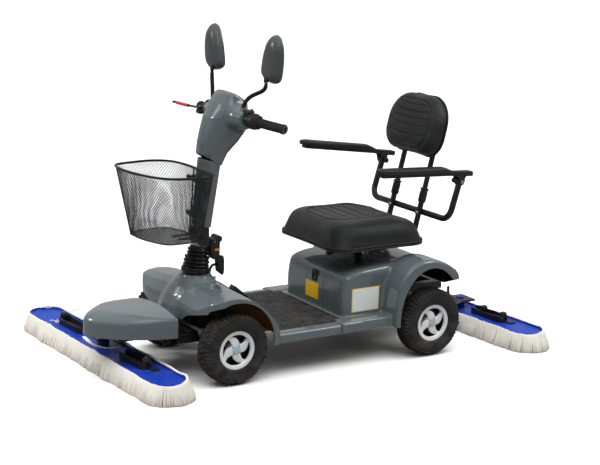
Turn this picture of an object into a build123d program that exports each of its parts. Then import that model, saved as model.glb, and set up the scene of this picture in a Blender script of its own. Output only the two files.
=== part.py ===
import os
from math import atan2, cos, degrees, hypot, radians, sin, tan

from build123d import *

os.makedirs("parts", exist_ok=True)

# Driving sizes of the machine, in millimetres and degrees.
# x runs forward from the middle of the wheelbase, y to the rider's left, z up from the floor.
wheelbase = 840
front_x = wheelbase / 2
rear_x = -wheelbase / 2
front_track = 509
rear_track = 567
tyre_r = 130
tyre_w = 85
rim_r = 70
rim_flange_r = 74
rim_wall = 6
hub_r = 22
stub_r = 8.5
rear_shaft_r = 12
run_fit = 0.05
seat_gap = 0.3

# Frame
tube = 30
rail_y = 110
rail_bottom = 128
rail_front = front_x + 140
rail_rear = rear_x + 75
rear_rail_bottom = 200
frame_rear = rear_x - 180
sheet = 6

# Steering
kingpin_y = 185
kingpin_r = 8
kingpin_boss_r = 18
arm_reach = 90
column_lean = 7
column_foot_x = front_x + 41.5
column_foot_z = 165
steer_shaft_r = 20
tilt_pin_z = 475
tilt_pin_r = 8
head_tube_top = 310

# Body panels
panel = 5
deck_z = 165
deck_front = front_x - 176
deck_joint = rear_x + 395
body_half = 285
front_fender_half = 295
rear_fender_half = 320
hump_half = 132
box_half = 232
box_front = rear_x + 348
box_top = 333
nose_rear = front_x + 177
nose_front = front_x + 459
nose_half = 180
nose_bottom = 173
nose_shoulder = 228
nose_crown = 262

# Seat
seat_x = rear_x + 140
seat_post_r = 17
seat_under = 414
cushion_front = rear_x + 372
cushion_rear = rear_x - 20
cushion_half = 200
cushion_top = 512
back_lean = 13.7
back_post_y = 90
back_tube_r = 11
back_rod_r = 8
arm_half_gap = 255
arm_hinge_z = 656
arm_pin_r = 5

# Handlebar and head
bar_r = 11
bar_x = front_x - 98
bar_z = 926
grip_r = 17
grip_tip = (front_x - 158, 300, 911)
bar_bend_y = 95
mirror_ball = (front_x - 145, 195, 1060)

# Basket
basket_back = front_x + 32
basket_bottom = 490
basket_rim = 741
basket_wall = 4

# Mops
board_w = 135
board_t = 6
board_z = 60
board_rim = 6
string_spread = 30
swivel_z = 96
swivel_pin_r = 9
front_mop = (front_x + 304, -172)
front_mop_length = 1085
front_mop_yaw = 2.6
rear_mop = (rear_x - 377, 0)
rear_mop_length = 914
rear_mop_yaw = 4.0
front_hinge_x = front_x + 180
rear_hinge_x = rear_x - 220
mop_hinge_z = 136


def string_reach(length, yaw):
    # Half extents in x and y of the string skirt of a turned, round-ended mop.
    straight = (length - board_w) / 2
    radius = board_w / 2 + string_spread
    return straight * sin(radians(yaw)) + radius, straight * cos(radians(yaw)) + radius


front_reach = string_reach(front_mop_length, front_mop_yaw)
rear_reach = string_reach(rear_mop_length, rear_mop_yaw)
ahead = max(nose_front, front_mop[0] + front_reach[0])
behind = rear_mop[0] - rear_reach[0]
left = max(front_mop[1] + front_reach[1], rear_mop[1] + rear_reach[1])
right = min(front_mop[1] - front_reach[1], rear_mop[1] - rear_reach[1])

# The origin lies on the floor under the middle of the whole machine.
mid_x = -(ahead + behind) / 2
mid_y = -(left + right) / 2

axle_z = tyre_r
front_y = front_track / 2
rear_y = rear_track / 2
rail_top = rail_bottom + tube


def spot(x, y, z):
    return (mid_x + x, mid_y + y, z)


def level(z):
    # Horizontal sketch plane: x forward, y left.
    return Plane(origin=spot(0, 0, z))


def section(y):
    # Lengthwise sketch plane: x forward, z up. It extrudes to the right.
    return Plane(origin=spot(0, y, 0), x_dir=(1, 0, 0), z_dir=(0, -1, 0))


def across(x):
    # Crosswise sketch plane: y left, z up. It extrudes forward.
    return Plane(origin=spot(x, 0, 0), x_dir=(0, 1, 0), z_dir=(1, 0, 0))


def column_x(z):
    return column_foot_x - (z - column_foot_z) * tan(radians(column_lean))


def column_plane(z):
    # Plane square to the leaning steering axis where the axis has height z.
    tilt = radians(column_lean)
    return Plane(origin=spot(column_x(z), 0, z), x_dir=(cos(tilt), 0, sin(tilt)),
            z_dir=(-sin(tilt), 0, cos(tilt)))


def block(x, y, z, mode=Mode.ADD):
    with Locations(spot((x[0] + x[1]) / 2, (y[0] + y[1]) / 2, (z[0] + z[1]) / 2)):
        Box(x[1] - x[0], y[1] - y[0], z[1] - z[0], mode=mode)


def rod(a, b, radius, mode=Mode.ADD):
    start = Vector(*spot(*a))
    run = Vector(*spot(*b)) - start
    with BuildSketch(Plane(origin=start, z_dir=run)) as disc:
        Circle(radius)
    extrude(disc.sketch, amount=run.length, mode=mode)


def side_profile(half, curve, corners, mode=Mode.ADD):
    # A lengthwise outline, smooth along the curve points, carried across both halves.
    with BuildSketch(section(0)) as profile:
        with BuildLine():
            top = Spline(*curve)
            Polyline(top @ 1, *corners, top @ 0)
        make_face()
    extrude(profile.sketch, amount=half, both=True, mode=mode)


def save(piece, name):
    piece.label = name
    export_step(piece, f"parts/{name}.step")


# Welded chassis frame with the steering head tube and the seat mast
post_bore = seat_post_r + run_fit
mast_wall = 7
mast_top = 345
outrigger_half = 240
with BuildPart() as frame:
    for side in (1, -1):
        y = (side * rail_y - tube / 2, side * rail_y + tube / 2)
        block((rail_rear, rail_front), y, (rail_bottom, rail_top))
        block((rail_rear, rail_rear + tube), y, (rail_bottom, rear_rail_bottom + tube))
        block((frame_rear, rail_rear + tube), y, (rear_rail_bottom, rear_rail_bottom + tube))
        block((rear_x - 20, rear_x + 20), y, (axle_z + 8, rear_rail_bottom))
    for x, half in ((rail_front - tube, rail_y), (deck_front - 19, rail_y),
            (deck_joint - 40, outrigger_half), (seat_x - tube / 2, outrigger_half)):
        block((x, x + tube), (-half, half), (rail_bottom, rail_top))
    block((frame_rear, frame_rear + tube), (-rail_y, rail_y), (rear_rail_bottom, rear_rail_bottom + tube))
    block((front_x - 15, front_x + 80), (-rail_y - tube / 2, rail_y + tube / 2), (rail_top, rail_top + sheet))
    rod((column_x(rail_top + 1), 0, rail_top + 1), (column_x(head_tube_top), 0, head_tube_top),
            steer_shaft_r + 10)
    rod((column_x(170), 0, 170), (column_x(330), 0, 330), steer_shaft_r + run_fit, Mode.SUBTRACT)
    rod((seat_x, 0, rail_top), (seat_x, 0, mast_top), seat_post_r + mast_wall)
    rod((seat_x, 0, rail_top), (seat_x, 0, mast_top), post_bore, Mode.SUBTRACT)
    rod((rear_x, -rail_y - tube, axle_z), (rear_x, rail_y + tube, axle_z), 24 + 0.2, Mode.SUBTRACT)
save(frame.part, "chassis_frame")

# Front axle beam bolted under the rails, with a kingpin boss at each end
beam_low = 100
boss_low = 92
boss_top = 168
with BuildPart() as beam:
    block((front_x - 15, front_x + 15), (-kingpin_y, kingpin_y), (beam_low, rail_bottom))
    for side in (1, -1):
        rod((front_x, side * kingpin_y, boss_low), (front_x, side * kingpin_y, boss_top), kingpin_boss_r)
    for side in (1, -1):
        rod((front_x, side * kingpin_y, boss_low), (front_x, side * kingpin_y, boss_top),
                kingpin_r + run_fit, Mode.SUBTRACT)
save(beam.part, "front_axle_beam")

# Steering knuckles with stub axles, and the tie rod that lies on their arms
plate_gap = 0.4
knuckle_low = boss_low - plate_gap - 9
knuckle_top = boss_top + plate_gap + 8
web_in = kingpin_boss_r + 1
hub_in = front_y - 28
rod_x = front_x + arm_reach
eye_r = 11
for name, side in (("left", 1), ("right", -1)):
    with BuildPart() as knuckle:
        ends = sorted((side * (kingpin_y - 16), side * (kingpin_y + web_in + 10)))
        block((front_x - 15, front_x + 15), ends, (knuckle_low, boss_low - plate_gap))
        block((front_x - 15, front_x + 15), ends, (boss_top + plate_gap, knuckle_top))
        web = sorted((side * (kingpin_y + web_in), side * (kingpin_y + web_in + 10)))
        block((front_x - 18, front_x + 18), web, (knuckle_low, knuckle_top))
        rod((front_x, side * kingpin_y, knuckle_low), (front_x, side * kingpin_y, knuckle_top), kingpin_r)
        arm = (side * kingpin_y - 8, side * kingpin_y + 8)
        block((front_x, rod_x), arm, (boss_top + plate_gap, knuckle_top))
        rod((rod_x, side * kingpin_y, boss_top + plate_gap), (rod_x, side * kingpin_y, knuckle_top), eye_r)
        rod((front_x, side * (kingpin_y + web_in + 5), axle_z), (front_x, side * (hub_in - 0.5), axle_z), 14)
        rod((front_x, side * (kingpin_y + web_in + 5), axle_z), (front_x, side * (front_y + 16), axle_z),
                stub_r)
    save(knuckle.part, f"{name}_knuckle")

tie_low = knuckle_top + plate_gap
tie_r = 7
with BuildPart() as tie_rod:
    for side in (1, -1):
        rod((rod_x, side * kingpin_y, tie_low), (rod_x, side * kingpin_y, tie_low + 2 * tie_r + 2), eye_r)
    rod((rod_x, -kingpin_y, tie_low + tie_r + 1), (rod_x, kingpin_y, tie_low + tie_r + 1), tie_r)
save(tie_rod.part, "tie_rod")

# Wheels: block-tread tyres on cast rims with four swept spokes
spoke_root = hub_r - 2
spoke_tip = rim_r - rim_wall + 1
spoke_sweep = 36
hub_half = 28
cap_r = 15
wheels = (
    ("front_left", front_x, front_y, 1),
    ("front_right", front_x, -front_y, -1),
    ("rear_left", rear_x, rear_y, 1),
    ("rear_right", rear_x, -rear_y, -1),
)


def polar(radius, angle):
    return (radius * cos(radians(angle)), radius * sin(radians(angle)))


for name, wheel_x, wheel_y, side in wheels:
    axle = Axis(spot(wheel_x, wheel_y, axle_z), (0, 1, 0))
    half = tyre_w / 2
    bead = half - 8.5
    with BuildPart() as tyre:
        with BuildSketch(across(wheel_x)):
            with BuildLine():
                low = (wheel_y - bead, axle_z + rim_r + 0.2)
                high = (wheel_y + bead, axle_z + rim_r + 0.2)
                crown = (wheel_y, axle_z + tyre_r)
                shoulder = tyre_r - 5
                flat = half - 13
                Line(high, low)
                Spline(low, (wheel_y - half, axle_z + 97), (wheel_y - flat, axle_z + shoulder))
                ThreePointArc((wheel_y - flat, axle_z + shoulder), crown, (wheel_y + flat, axle_z + shoulder))
                Spline((wheel_y + flat, axle_z + shoulder), (wheel_y + half, axle_z + 97), high)
            make_face()
        revolve(axis=axle)
    save(tyre.part, f"{name}_tyre")

    with BuildPart() as rim:
        with BuildSketch(across(wheel_x)):
            with Locations((wheel_y, axle_z + rim_r - rim_wall / 2)):
                Rectangle(tyre_w - 3, rim_wall)
            lip = 4.5
            for edge in (1, -1):
                with Locations((wheel_y + edge * ((tyre_w - 3) / 2 - lip / 2),
                        axle_z + (rim_r + rim_flange_r) / 2 - 1)):
                    Rectangle(lip, rim_flange_r - rim_r + 2)
        revolve(axis=axle)
        face_y = wheel_y + side * 32
        with BuildSketch(Plane(origin=spot(wheel_x, face_y, axle_z), x_dir=(1, 0, 0), z_dir=(0, -side, 0))):
            for turn in range(4):
                a = 90 * turn + 10
                with BuildLine():
                    lead = ThreePointArc(polar(spoke_root, a - 34), polar(44, a + 2),
                            polar(spoke_tip, a + spoke_sweep - 12))
                    trail = ThreePointArc(polar(spoke_root, a + 30), polar(44, a + 33),
                            polar(spoke_tip, a + spoke_sweep + 12))
                    Line(lead @ 0, trail @ 0)
                    Line(lead @ 1, trail @ 1)
                make_face()
        extrude(amount=12)
        rod((wheel_x, wheel_y - side * hub_half, axle_z), (wheel_x, face_y + side * 1, axle_z), hub_r)
        rod((wheel_x, face_y, axle_z), (wheel_x, face_y + side * 6, axle_z), cap_r)
        if wheel_x > 0:
            rod((wheel_x, wheel_y - side * hub_half, axle_z), (wheel_x, wheel_y + side * 18, axle_z),
                    stub_r + run_fit, Mode.SUBTRACT)
        else:
            rod((wheel_x, wheel_y - side * hub_half, axle_z), (wheel_x, side * 140, axle_z), rear_shaft_r)
    save(rim.part, f"{name}_rim")

# Drive unit: gearcase, axle tubes and motor
axle_tube_r = 24
motor_r = 50
with BuildPart() as drive:
    block((rear_x - 60, rear_x + 60), (-45, 75), (axle_z - 60, axle_z + 60))
    rod((rear_x, -rear_y + 33, axle_z), (rear_x, rear_y - 33, axle_z), axle_tube_r)
    rod((rear_x - 60, 20, axle_z), (rear_x - 165, 20, axle_z), motor_r)
    for side in (1, -1):
        rod((rear_x, side * 135, axle_z), (rear_x, side * rear_y, axle_z), rear_shaft_r + run_fit,
                Mode.SUBTRACT)
save(drive.part, "drive_unit")

# Batteries on the rails, and the motor controller on the right rear rail
with BuildPart() as batteries:
    for side in (1, -1):
        block((rear_x + 170, rear_x + 330), sorted((side * 30, side * 160)), (rail_top, 300))
save(batteries.part, "batteries")

rear_rail_top = rear_rail_bottom + tube
with BuildPart() as controller:
    block((rear_x - 155, rear_x - 60), (-rail_y - 12, -18), (rear_rail_top, rear_rail_top + 32))
save(controller.part, "controller_box")

# Front cover: centre hump with the column collar, and a fender over each front wheel
collar_z = 350
arch_z = 152
front_arch_r = 166
hump = (
    (front_x - 175, deck_z), (front_x - 156, 208), (front_x - 118, 254), (front_x - 72, 297),
    (front_x - 18, 322), (front_x + 35, 327), (front_x + 80, 319), (front_x + 111, 292),
    (front_x + 126, 250), (front_x + 124, 210),
)
hump_in = (
    (front_x - 168, deck_z), (front_x - 150, 206), (front_x - 113, 249), (front_x - 69, 290),
    (front_x - 16, 315), (front_x + 35, 320), (front_x + 76, 313), (front_x + 105, 288),
    (front_x + 119, 249), (front_x + 118, 210),
)
fender = (
    (front_x - 175, deck_z), (front_x - 172, 206), (front_x - 156, 254), (front_x - 122, 294),
    (front_x - 75, 318), (front_x - 20, 329), (front_x + 35, 331), (front_x + 80, 322),
    (front_x + 113, 293), (front_x + 123, 276),
)
pedal_y = -60
pedal_pin = (front_x - 90, 300)
pedal_pin_r = 5
pedal_side = ((0, 310), (-8, 306), (-92, 226), (-86, 219), (0, 294))
with BuildPart() as front_cover:
    side_profile(front_fender_half, fender, ((front_x + 123, 210), (pedal_pin[0], deck_z)))
    for side in (1, -1):
        with BuildSketch(section(side * hump_half)):
            with Locations((front_x - 2, arch_z)):
                Circle(front_arch_r)
            with Locations((front_x - 2, arch_z - 50)):
                Rectangle(2 * front_arch_r, 100)
            with Locations((front_x + 100, arch_z + 30)):
                Rectangle(200, 190)
        extrude(amount=-side * 200, mode=Mode.SUBTRACT)
    with BuildSketch(section(hump_half)):
        Rectangle(2000, 2000)
    extrude(amount=2 * hump_half, mode=Mode.SUBTRACT)
    side_profile(hump_half, hump, ((pedal_pin[0], 210), (pedal_pin[0], deck_z)))
    with BuildSketch(level(312)):
        with Locations((column_x(312), 0)):
            Circle(118)
    with BuildSketch(level(collar_z - 14)):
        with Locations((column_x(collar_z), 0)):
            Circle(58)
    loft()
    rod((column_x(collar_z - 15), 0, collar_z - 15), (column_x(collar_z), 0, collar_z), 56)
    side_profile(hump_half - panel, hump_in, ((front_x + 118, 100), (front_x - 168, 100)), Mode.SUBTRACT)
    rod((column_x(290), 0, 290), (column_x(collar_z + 20), 0, collar_z + 20), 36, Mode.SUBTRACT)
    for lug in (-26, 26):
        with BuildSketch(section(pedal_y + lug + 4)):
            with Locations(pedal_pin):
                Circle(10)
            with Locations((pedal_pin[0] + 8, pedal_pin[1] - 12)):
                Rectangle(30, 22)
        extrude(amount=8)
    rod((pedal_pin[0], pedal_y - 40, pedal_pin[1]), (pedal_pin[0], pedal_y + 40, pedal_pin[1]),
            pedal_pin_r + run_fit, Mode.SUBTRACT)
save(front_cover.part, "front_cover")

# Foot pedal above the rear slope of the hump
with BuildPart() as pedal:
    rod((pedal_pin[0], pedal_y - 30, pedal_pin[1]), (pedal_pin[0], pedal_y + 30, pedal_pin[1]), pedal_pin_r)
    rod((pedal_pin[0], pedal_y - 21.5, pedal_pin[1]), (pedal_pin[0], pedal_y + 21.5, pedal_pin[1]), 10)
    with BuildSketch(section(pedal_y + 21.5)):
        Polygon(*((pedal_pin[0] + x, z) for x, z in pedal_side), align=None)
    extrude(amount=43)
save(pedal.part, "foot_pedal")

# Footboard panel with its side skirts, and the ribbed mat on it
skirt = 6
skirt_bottom = 131
tongue_half = hump_half + 2
with BuildPart() as deck:
    block((deck_joint, deck_front), (-body_half, body_half), (rail_top, deck_z))
    block((deck_front, pedal_pin[0]), (-tongue_half, tongue_half), (rail_top, deck_z))
    for side in (1, -1):
        block((deck_joint, deck_front), sorted((side * (body_half - skirt), side * body_half)),
                (skirt_bottom, rail_top))
    top_edges = deck.edges().filter_by(Axis.X).group_by(Axis.Z)[-1].sort_by(Axis.Y)
    fillet((top_edges[0], top_edges[-1]), radius=5)
save(deck.part, "footboard_panel")

mat_front = deck_front - 6
mat_rear = deck_joint - 23
mat_half = 196
mat_t = 6
with BuildPart() as mat:
    block((mat_rear, mat_front), (-mat_half, mat_half), (deck_z, deck_z + mat_t))
    fillet(mat.edges().filter_by(Axis.Z), radius=12)
save(mat.part, "footboard_mat")

# Rear body: seat box, sills and a fender over each rear wheel
sill_z = 177
socket_y = 17
socket_z = 286
lamp_x = rear_x - 151
lamp_y = 250
lamp_z = 305
box = (
    (box_front, deck_z - 4), (box_front - 3, 290), (rear_x + 332, 319), (rear_x + 308, 331),
    (rear_x + 220, box_top), (rear_x + 120, 337), (rear_x + 60, 352), (rear_x, 360),
    (rear_x - 80, 350), (rear_x - 140, 318), (rear_x - 164, 290), (rear_x - 160, 262),
)
box_in = (
    (box_front - 5, 160), (box_front - 8, 288), (rear_x + 328, 314), (rear_x + 306, 326),
    (rear_x + 220, box_top - 5), (rear_x + 120, 332), (rear_x + 59, 347), (rear_x, 355),
    (rear_x - 78, 345), (rear_x - 136, 314), (rear_x - 158, 289), (rear_x - 155, 262),
)
rear_fender = (
    (rear_x + 167, 172), (rear_x + 163, 230), (rear_x + 146, 290), (rear_x + 110, 336),
    (rear_x + 60, 364), (rear_x, 376), (rear_x - 60, 370), (rear_x - 120, 338),
    (rear_x - 156, 302), (rear_x - 160, 286),
)
rear_arch = (173, 190)
with BuildPart() as rear_body:
    side_profile(rear_fender_half, rear_fender, ((rear_x - 160, 172),))
    for side in (1, -1):
        with BuildSketch(section(side * box_half)):
            with Locations((rear_x, arch_z)):
                Ellipse(*rear_arch)
            with Locations((rear_x - 20, arch_z + 50)):
                Rectangle(320, 120)
        extrude(amount=-side * 200, mode=Mode.SUBTRACT)
    with BuildSketch(section(box_half)):
        Rectangle(2000, 2000)
    extrude(amount=2 * box_half, mode=Mode.SUBTRACT)
    side_profile(box_half, box, ((rear_x - 160, 240),))
    side_profile(box_half - panel, box_in, ((rear_x - 155, 90), (box_front - 5, 90)), Mode.SUBTRACT)
    block((mat_rear - 27, deck_joint - 0.5), (-box_half, box_half), (rail_top, deck_z))
    for side in (1, -1):
        block((rear_x + 167, deck_joint - 0.5), sorted((side * (box_half - panel), side * body_half)),
                (sill_z - 7, sill_z))
        block((rear_x + 167, deck_joint - 0.5), sorted((side * (body_half - skirt), side * body_half)),
                (skirt_bottom, sill_z))
        block((rear_x + 164, rear_x + 180), sorted((side * (box_half - panel), side * body_half)),
                (skirt_bottom + 40, sill_z + 40))
        block((-64, deck_joint - 0.5), sorted((side * (box_half - panel), side * body_half)),
                (rail_top, sill_z))
    rod((seat_x, 0, 250), (seat_x, 0, 400), seat_post_r + mast_wall + 2, Mode.SUBTRACT)
    block((box_front - 20, box_front + 10), (socket_y - 16, socket_y + 16),
            (socket_z - 21, socket_z + 21), Mode.SUBTRACT)
    for side in (1, -1):
        block((rear_x - 180, lamp_x), (side * lamp_y - 26, side * lamp_y + 26),
                (lamp_z - 12, lamp_z + 12), Mode.SUBTRACT)
save(rear_body.part, "rear_body")

with BuildPart() as socket:
    block((box_front - 12, box_front + 4), (socket_y - 16 + 0.2, socket_y + 16 - 0.2),
            (socket_z - 21 + 0.2, socket_z + 21 - 0.2))
    block((box_front - 6, box_front + 4), (socket_y - 9, socket_y + 9), (socket_z - 12, socket_z + 8),
            Mode.SUBTRACT)
save(socket.part, "charge_socket")

with BuildPart() as lamps:
    for side in (1, -1):
        block((lamp_x - 11, lamp_x - 0.2), (side * lamp_y - 25.8, side * lamp_y + 25.8),
                (lamp_z - 11.8, lamp_z + 11.8))
save(lamps.part, "tail_lamps")

# Nose cover: half-oval shell on its bracket
bracket_top = rail_top + sheet
nose_floor = 4


def half_oval(inset):
    reach = nose_front - nose_rear - inset
    wide = nose_half - inset
    cut_x = nose_rear + inset * 0.2
    with Locations((nose_rear, 0)):
        Ellipse(reach, wide)
    with Locations((cut_x - reach, 0)):
        Rectangle(2 * reach, 4 * wide, mode=Mode.SUBTRACT)


with BuildPart() as nose:
    for wall, low, mode in ((0, nose_bottom, Mode.ADD), (panel, nose_bottom + nose_floor, Mode.SUBTRACT)):
        lift = -wall
        with BuildSketch(level(low)):
            half_oval(wall)
        extrude(amount=nose_shoulder - low, mode=mode)
        with BuildSketch(level(nose_shoulder)):
            half_oval(wall)
        with BuildSketch(level((nose_shoulder + nose_crown) / 2 + lift / 2 + 6)):
            half_oval(wall + 24)
        with BuildSketch(level(nose_crown + lift)):
            half_oval(wall + 82)
        loft(mode=mode)
save(nose.part, "nose_cover")

lug_t = 8
hinge_pin_r = 8
front_lug_y = 95
with BuildPart() as nose_bracket:
    block((rail_front - tube, front_x + 370), (-100, 100), (rail_top, bracket_top))
    for x in (front_x + 230, front_x + 340):
        for y in (-70, 70):
            rod((x, y, bracket_top), (x, y, nose_bottom), 12)
    for y in (front_lug_y, -front_lug_y):
        block((front_hinge_x - 15, front_hinge_x + 15), (y - lug_t / 2, y + lug_t / 2),
                (mop_hinge_z - 15, rail_top))
        rod((front_hinge_x, y - lug_t, mop_hinge_z), (front_hinge_x, y + lug_t, mop_hinge_z),
                hinge_pin_r + run_fit, Mode.SUBTRACT)
save(nose_bracket.part, "nose_bracket")

# Rear hitch plate with the lugs of the rear mop
rear_lug_y = 60
with BuildPart() as hitch:
    block((frame_rear - 12, frame_rear), (-80, 80), (mop_hinge_z - 16, rear_rail_top))
    for y in (rear_lug_y, -rear_lug_y):
        block((rear_hinge_x - 15, frame_rear), (y - lug_t / 2, y + lug_t / 2),
                (mop_hinge_z - 15, mop_hinge_z + 15))
        rod((rear_hinge_x, y - lug_t, mop_hinge_z), (rear_hinge_x, y + lug_t, mop_hinge_z),
                hinge_pin_r + run_fit, Mode.SUBTRACT)
save(hitch.part, "rear_hitch")

# Mops: a lifting arm, a round-ended board that swivels on it, its string skirt and its two clamps
swivel_t = 8
board_top = board_z + board_t
clamp_size = (46, 185)
clamp_knob_reach = 80


def mop(name, centre, length, yaw, hinge_x, lug_y, reach_y, clamp_offset):
    toward = 1 if centre[0] > hinge_x else -1
    pad_in = centre[0] - toward * 55
    with BuildPart() as arm:
        rod((hinge_x, min(reach_y, -lug_y - 8), mop_hinge_z), (hinge_x, lug_y + 8, mop_hinge_z), hinge_pin_r)
        inner = lug_y - lug_t / 2 - 0.5
        rod((hinge_x, -inner, mop_hinge_z), (hinge_x, inner, mop_hinge_z), 13)
        outer = lug_y + lug_t / 2 + 0.5
        if reach_y < -outer:
            rod((hinge_x, reach_y, mop_hinge_z), (hinge_x, -outer, mop_hinge_z), 13)
        for y in (centre[1] - 30, centre[1] + 30):
            rod((hinge_x, y, mop_hinge_z), (pad_in, y, swivel_z + swivel_t / 2), 8)
        block(sorted((pad_in - toward * 12, centre[0] + toward * 45)), (centre[1] - 45, centre[1] + 45),
                (swivel_z, swivel_z + swivel_t))
        rod((*centre, swivel_z - 5), (*centre, swivel_z + swivel_t + 5), swivel_pin_r + run_fit,
                Mode.SUBTRACT)
    save(arm.part, f"{name}_arm")

    def outline(z, extra):
        return Plane(origin=spot(*centre, z)), length + 2 * extra, board_w + 2 * extra

    with BuildPart() as board:
        plane, long, wide = outline(board_z, 0)
        with BuildSketch(plane):
            SlotOverall(long, wide, rotation=90 + yaw)
        extrude(amount=board_t)
        with BuildSketch(plane.offset(board_t)):
            SlotOverall(long, wide, rotation=90 + yaw)
            SlotOverall(long - 2 * board_rim, wide - 2 * board_rim, rotation=90 + yaw, mode=Mode.SUBTRACT)
        extrude(amount=board_rim)
        rod((*centre, board_top), (*centre, swivel_z - seat_gap), 22)
        rod((*centre, board_top), (*centre, swivel_z + swivel_t + 6), swivel_pin_r)
        rod((*centre, swivel_z + swivel_t + seat_gap), (*centre, swivel_z + swivel_t + 7), 16)
    save(board.part, f"{name}_board")

    with BuildPart() as strings:
        plane, long, wide = outline(0, string_spread)
        with BuildSketch(plane):
            SlotOverall(long, wide, rotation=90 + yaw)
        extrude(amount=22)
        with BuildSketch(plane.offset(22)):
            SlotOverall(long, wide, rotation=90 + yaw)
        plane, long, wide = outline(board_z, 4)
        with BuildSketch(plane):
            SlotOverall(long, wide, rotation=90 + yaw)
        loft()
    save(strings.part, f"{name}_strings")

    with BuildPart() as clamps:
        for offset in (clamp_offset, -clamp_offset):
            turned = Plane(origin=spot(*centre, board_top)).rotated((0, 0, yaw))
            with BuildSketch(turned):
                with Locations((0, offset)):
                    Rectangle(*clamp_size)
            extrude(amount=26, taper=8)
            outward = clamp_knob_reach if offset > 0 else -clamp_knob_reach
            with BuildSketch(turned.offset(20)):
                with Locations((0, offset + outward)):
                    Circle(14)
            extrude(amount=22)
    save(clamps.part, f"{name}_clamps")


mop("front_mop", front_mop, front_mop_length, front_mop_yaw, front_hinge_x, front_lug_y,
        front_mop[1] - 45, 245)
mop("rear_mop", rear_mop, rear_mop_length, rear_mop_yaw, rear_hinge_x, rear_lug_y, 0, 178)

# Steering shaft with the tilt eye, its bellows and the tilt latch housing
eye_half = 23
eye_out_r = 22
shaft_low = 172
bellows_low = collar_z + 0.5
bellows_top = 450
folds = 5
latch_x = (front_x - 75, front_x - 36)
latch_z = (412, 474)
lever_pin = (front_x - 46, 418)
lever_pin_r = 4
lever_side = ((-7, 425), (7, 425), (6, 395), (2, 345), (-10, 330), (-18, 334), (-12, 350), (-7, 395))
with BuildPart() as shaft:
    rod((column_x(shaft_low), 0, shaft_low), (column_x(tilt_pin_z), 0, tilt_pin_z), steer_shaft_r)
    hinge_x = column_x(tilt_pin_z)
    rod((hinge_x, -eye_half, tilt_pin_z), (hinge_x, eye_half, tilt_pin_z), eye_out_r)
    rod((hinge_x, -eye_half, tilt_pin_z), (hinge_x, eye_half, tilt_pin_z), tilt_pin_r + run_fit,
            Mode.SUBTRACT)
save(shaft.part, "steering_shaft")

with BuildPart() as bellows:
    foot = column_plane(bellows_low)
    rise = (bellows_top - bellows_low) / cos(radians(column_lean))
    with BuildSketch(Plane(origin=foot.origin, x_dir=foot.x_dir, z_dir=-foot.y_dir)):
        with BuildLine():
            outline_points = [(steer_shaft_r + 0.2, 0), (54, 0), (54, 7)]
            for fold in range(folds):
                height = 9 + (rise - 12) * fold / folds
                step = (rise - 12) / folds
                wide = 50 - 2 * fold
                outline_points += [(wide - 11, height), (wide, height + step / 2)]
            outline_points += [(30, rise - 3), (30, rise), (steer_shaft_r + 0.2, rise)]
            Polyline(*outline_points, close=True)
        make_face()
    revolve(axis=Axis(foot.origin, foot.z_dir))
save(bellows.part, "bellows")

with BuildPart() as latch:
    block(latch_x, (-22, 22), latch_z)
    block((latch_x[1] - 2, hinge_x - 15), (-9, 9), (bellows_top + 3, latch_z[1] - 6))
    rod((column_x(440), 0, 440), (column_x(480), 0, 480), steer_shaft_r + 0.2, Mode.SUBTRACT)
    rod((hinge_x, -eye_half, tilt_pin_z), (hinge_x, eye_half, tilt_pin_z), eye_out_r + seat_gap,
            Mode.SUBTRACT)
    block((front_x - 65, front_x - 20), (-12, 12), (400, 434), Mode.SUBTRACT)
    rod((lever_pin[0], -30, lever_pin[1]), (lever_pin[0], 30, lever_pin[1]), lever_pin_r + run_fit,
            Mode.SUBTRACT)
save(latch.part, "tilt_box")

with BuildPart() as lever:
    rod((lever_pin[0], -21, lever_pin[1]), (lever_pin[0], 21, lever_pin[1]), lever_pin_r)
    with BuildSketch(section(11)):
        Polygon(*((lever_pin[0] + x, z) for x, z in lever_side), align=None)
    extrude(amount=22)
save(lever.part, "tilt_lever")

# Tiller post: yoke on the tilt pin, inner tube, bar stem and basket bracket
cheek = 9
cheek_in = eye_half + 0.5
post_r = 14
yoke_z = tilt_pin_z + eye_out_r + 4
stem_z = (bar_z - 20, bar_z + 20)
ledge_z = basket_bottom - 7
with BuildPart() as tiller_post:
    for side in (1, -1):
        inner = side * cheek_in
        outer = side * (cheek_in + cheek)
        rod((hinge_x, inner, tilt_pin_z), (hinge_x, outer, tilt_pin_z), eye_out_r + 1)
        block((hinge_x - 23, hinge_x + 20), sorted((inner, outer)), (tilt_pin_z, yoke_z + 18))
    block((hinge_x - 23, hinge_x + 20), (-cheek_in - cheek, cheek_in + cheek), (yoke_z, yoke_z + 18))
    rod((hinge_x, -cheek_in - cheek - 4, tilt_pin_z), (hinge_x, cheek_in + cheek + 4, tilt_pin_z), tilt_pin_r)
    rod((column_x(yoke_z + 5), 0, yoke_z + 5), (column_x(bar_z), 0, bar_z), post_r)
    block((bar_x - 20, column_x(bar_z) + post_r), (-20, 20), stem_z)
    rod((bar_x, -30, bar_z), (bar_x, 30, bar_z), bar_r, Mode.SUBTRACT)
    for z in (580, 690):
        block((column_x(z), basket_back - seat_gap), (-15, 15), (z, z + 20))
    for side in (1, -1):
        ears = sorted((side * cheek_in, side * (cheek_in + cheek)))
        block((hinge_x + 10, basket_back + 70), ears, (ledge_z, basket_bottom))
save(tiller_post.part, "tiller_post")

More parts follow.
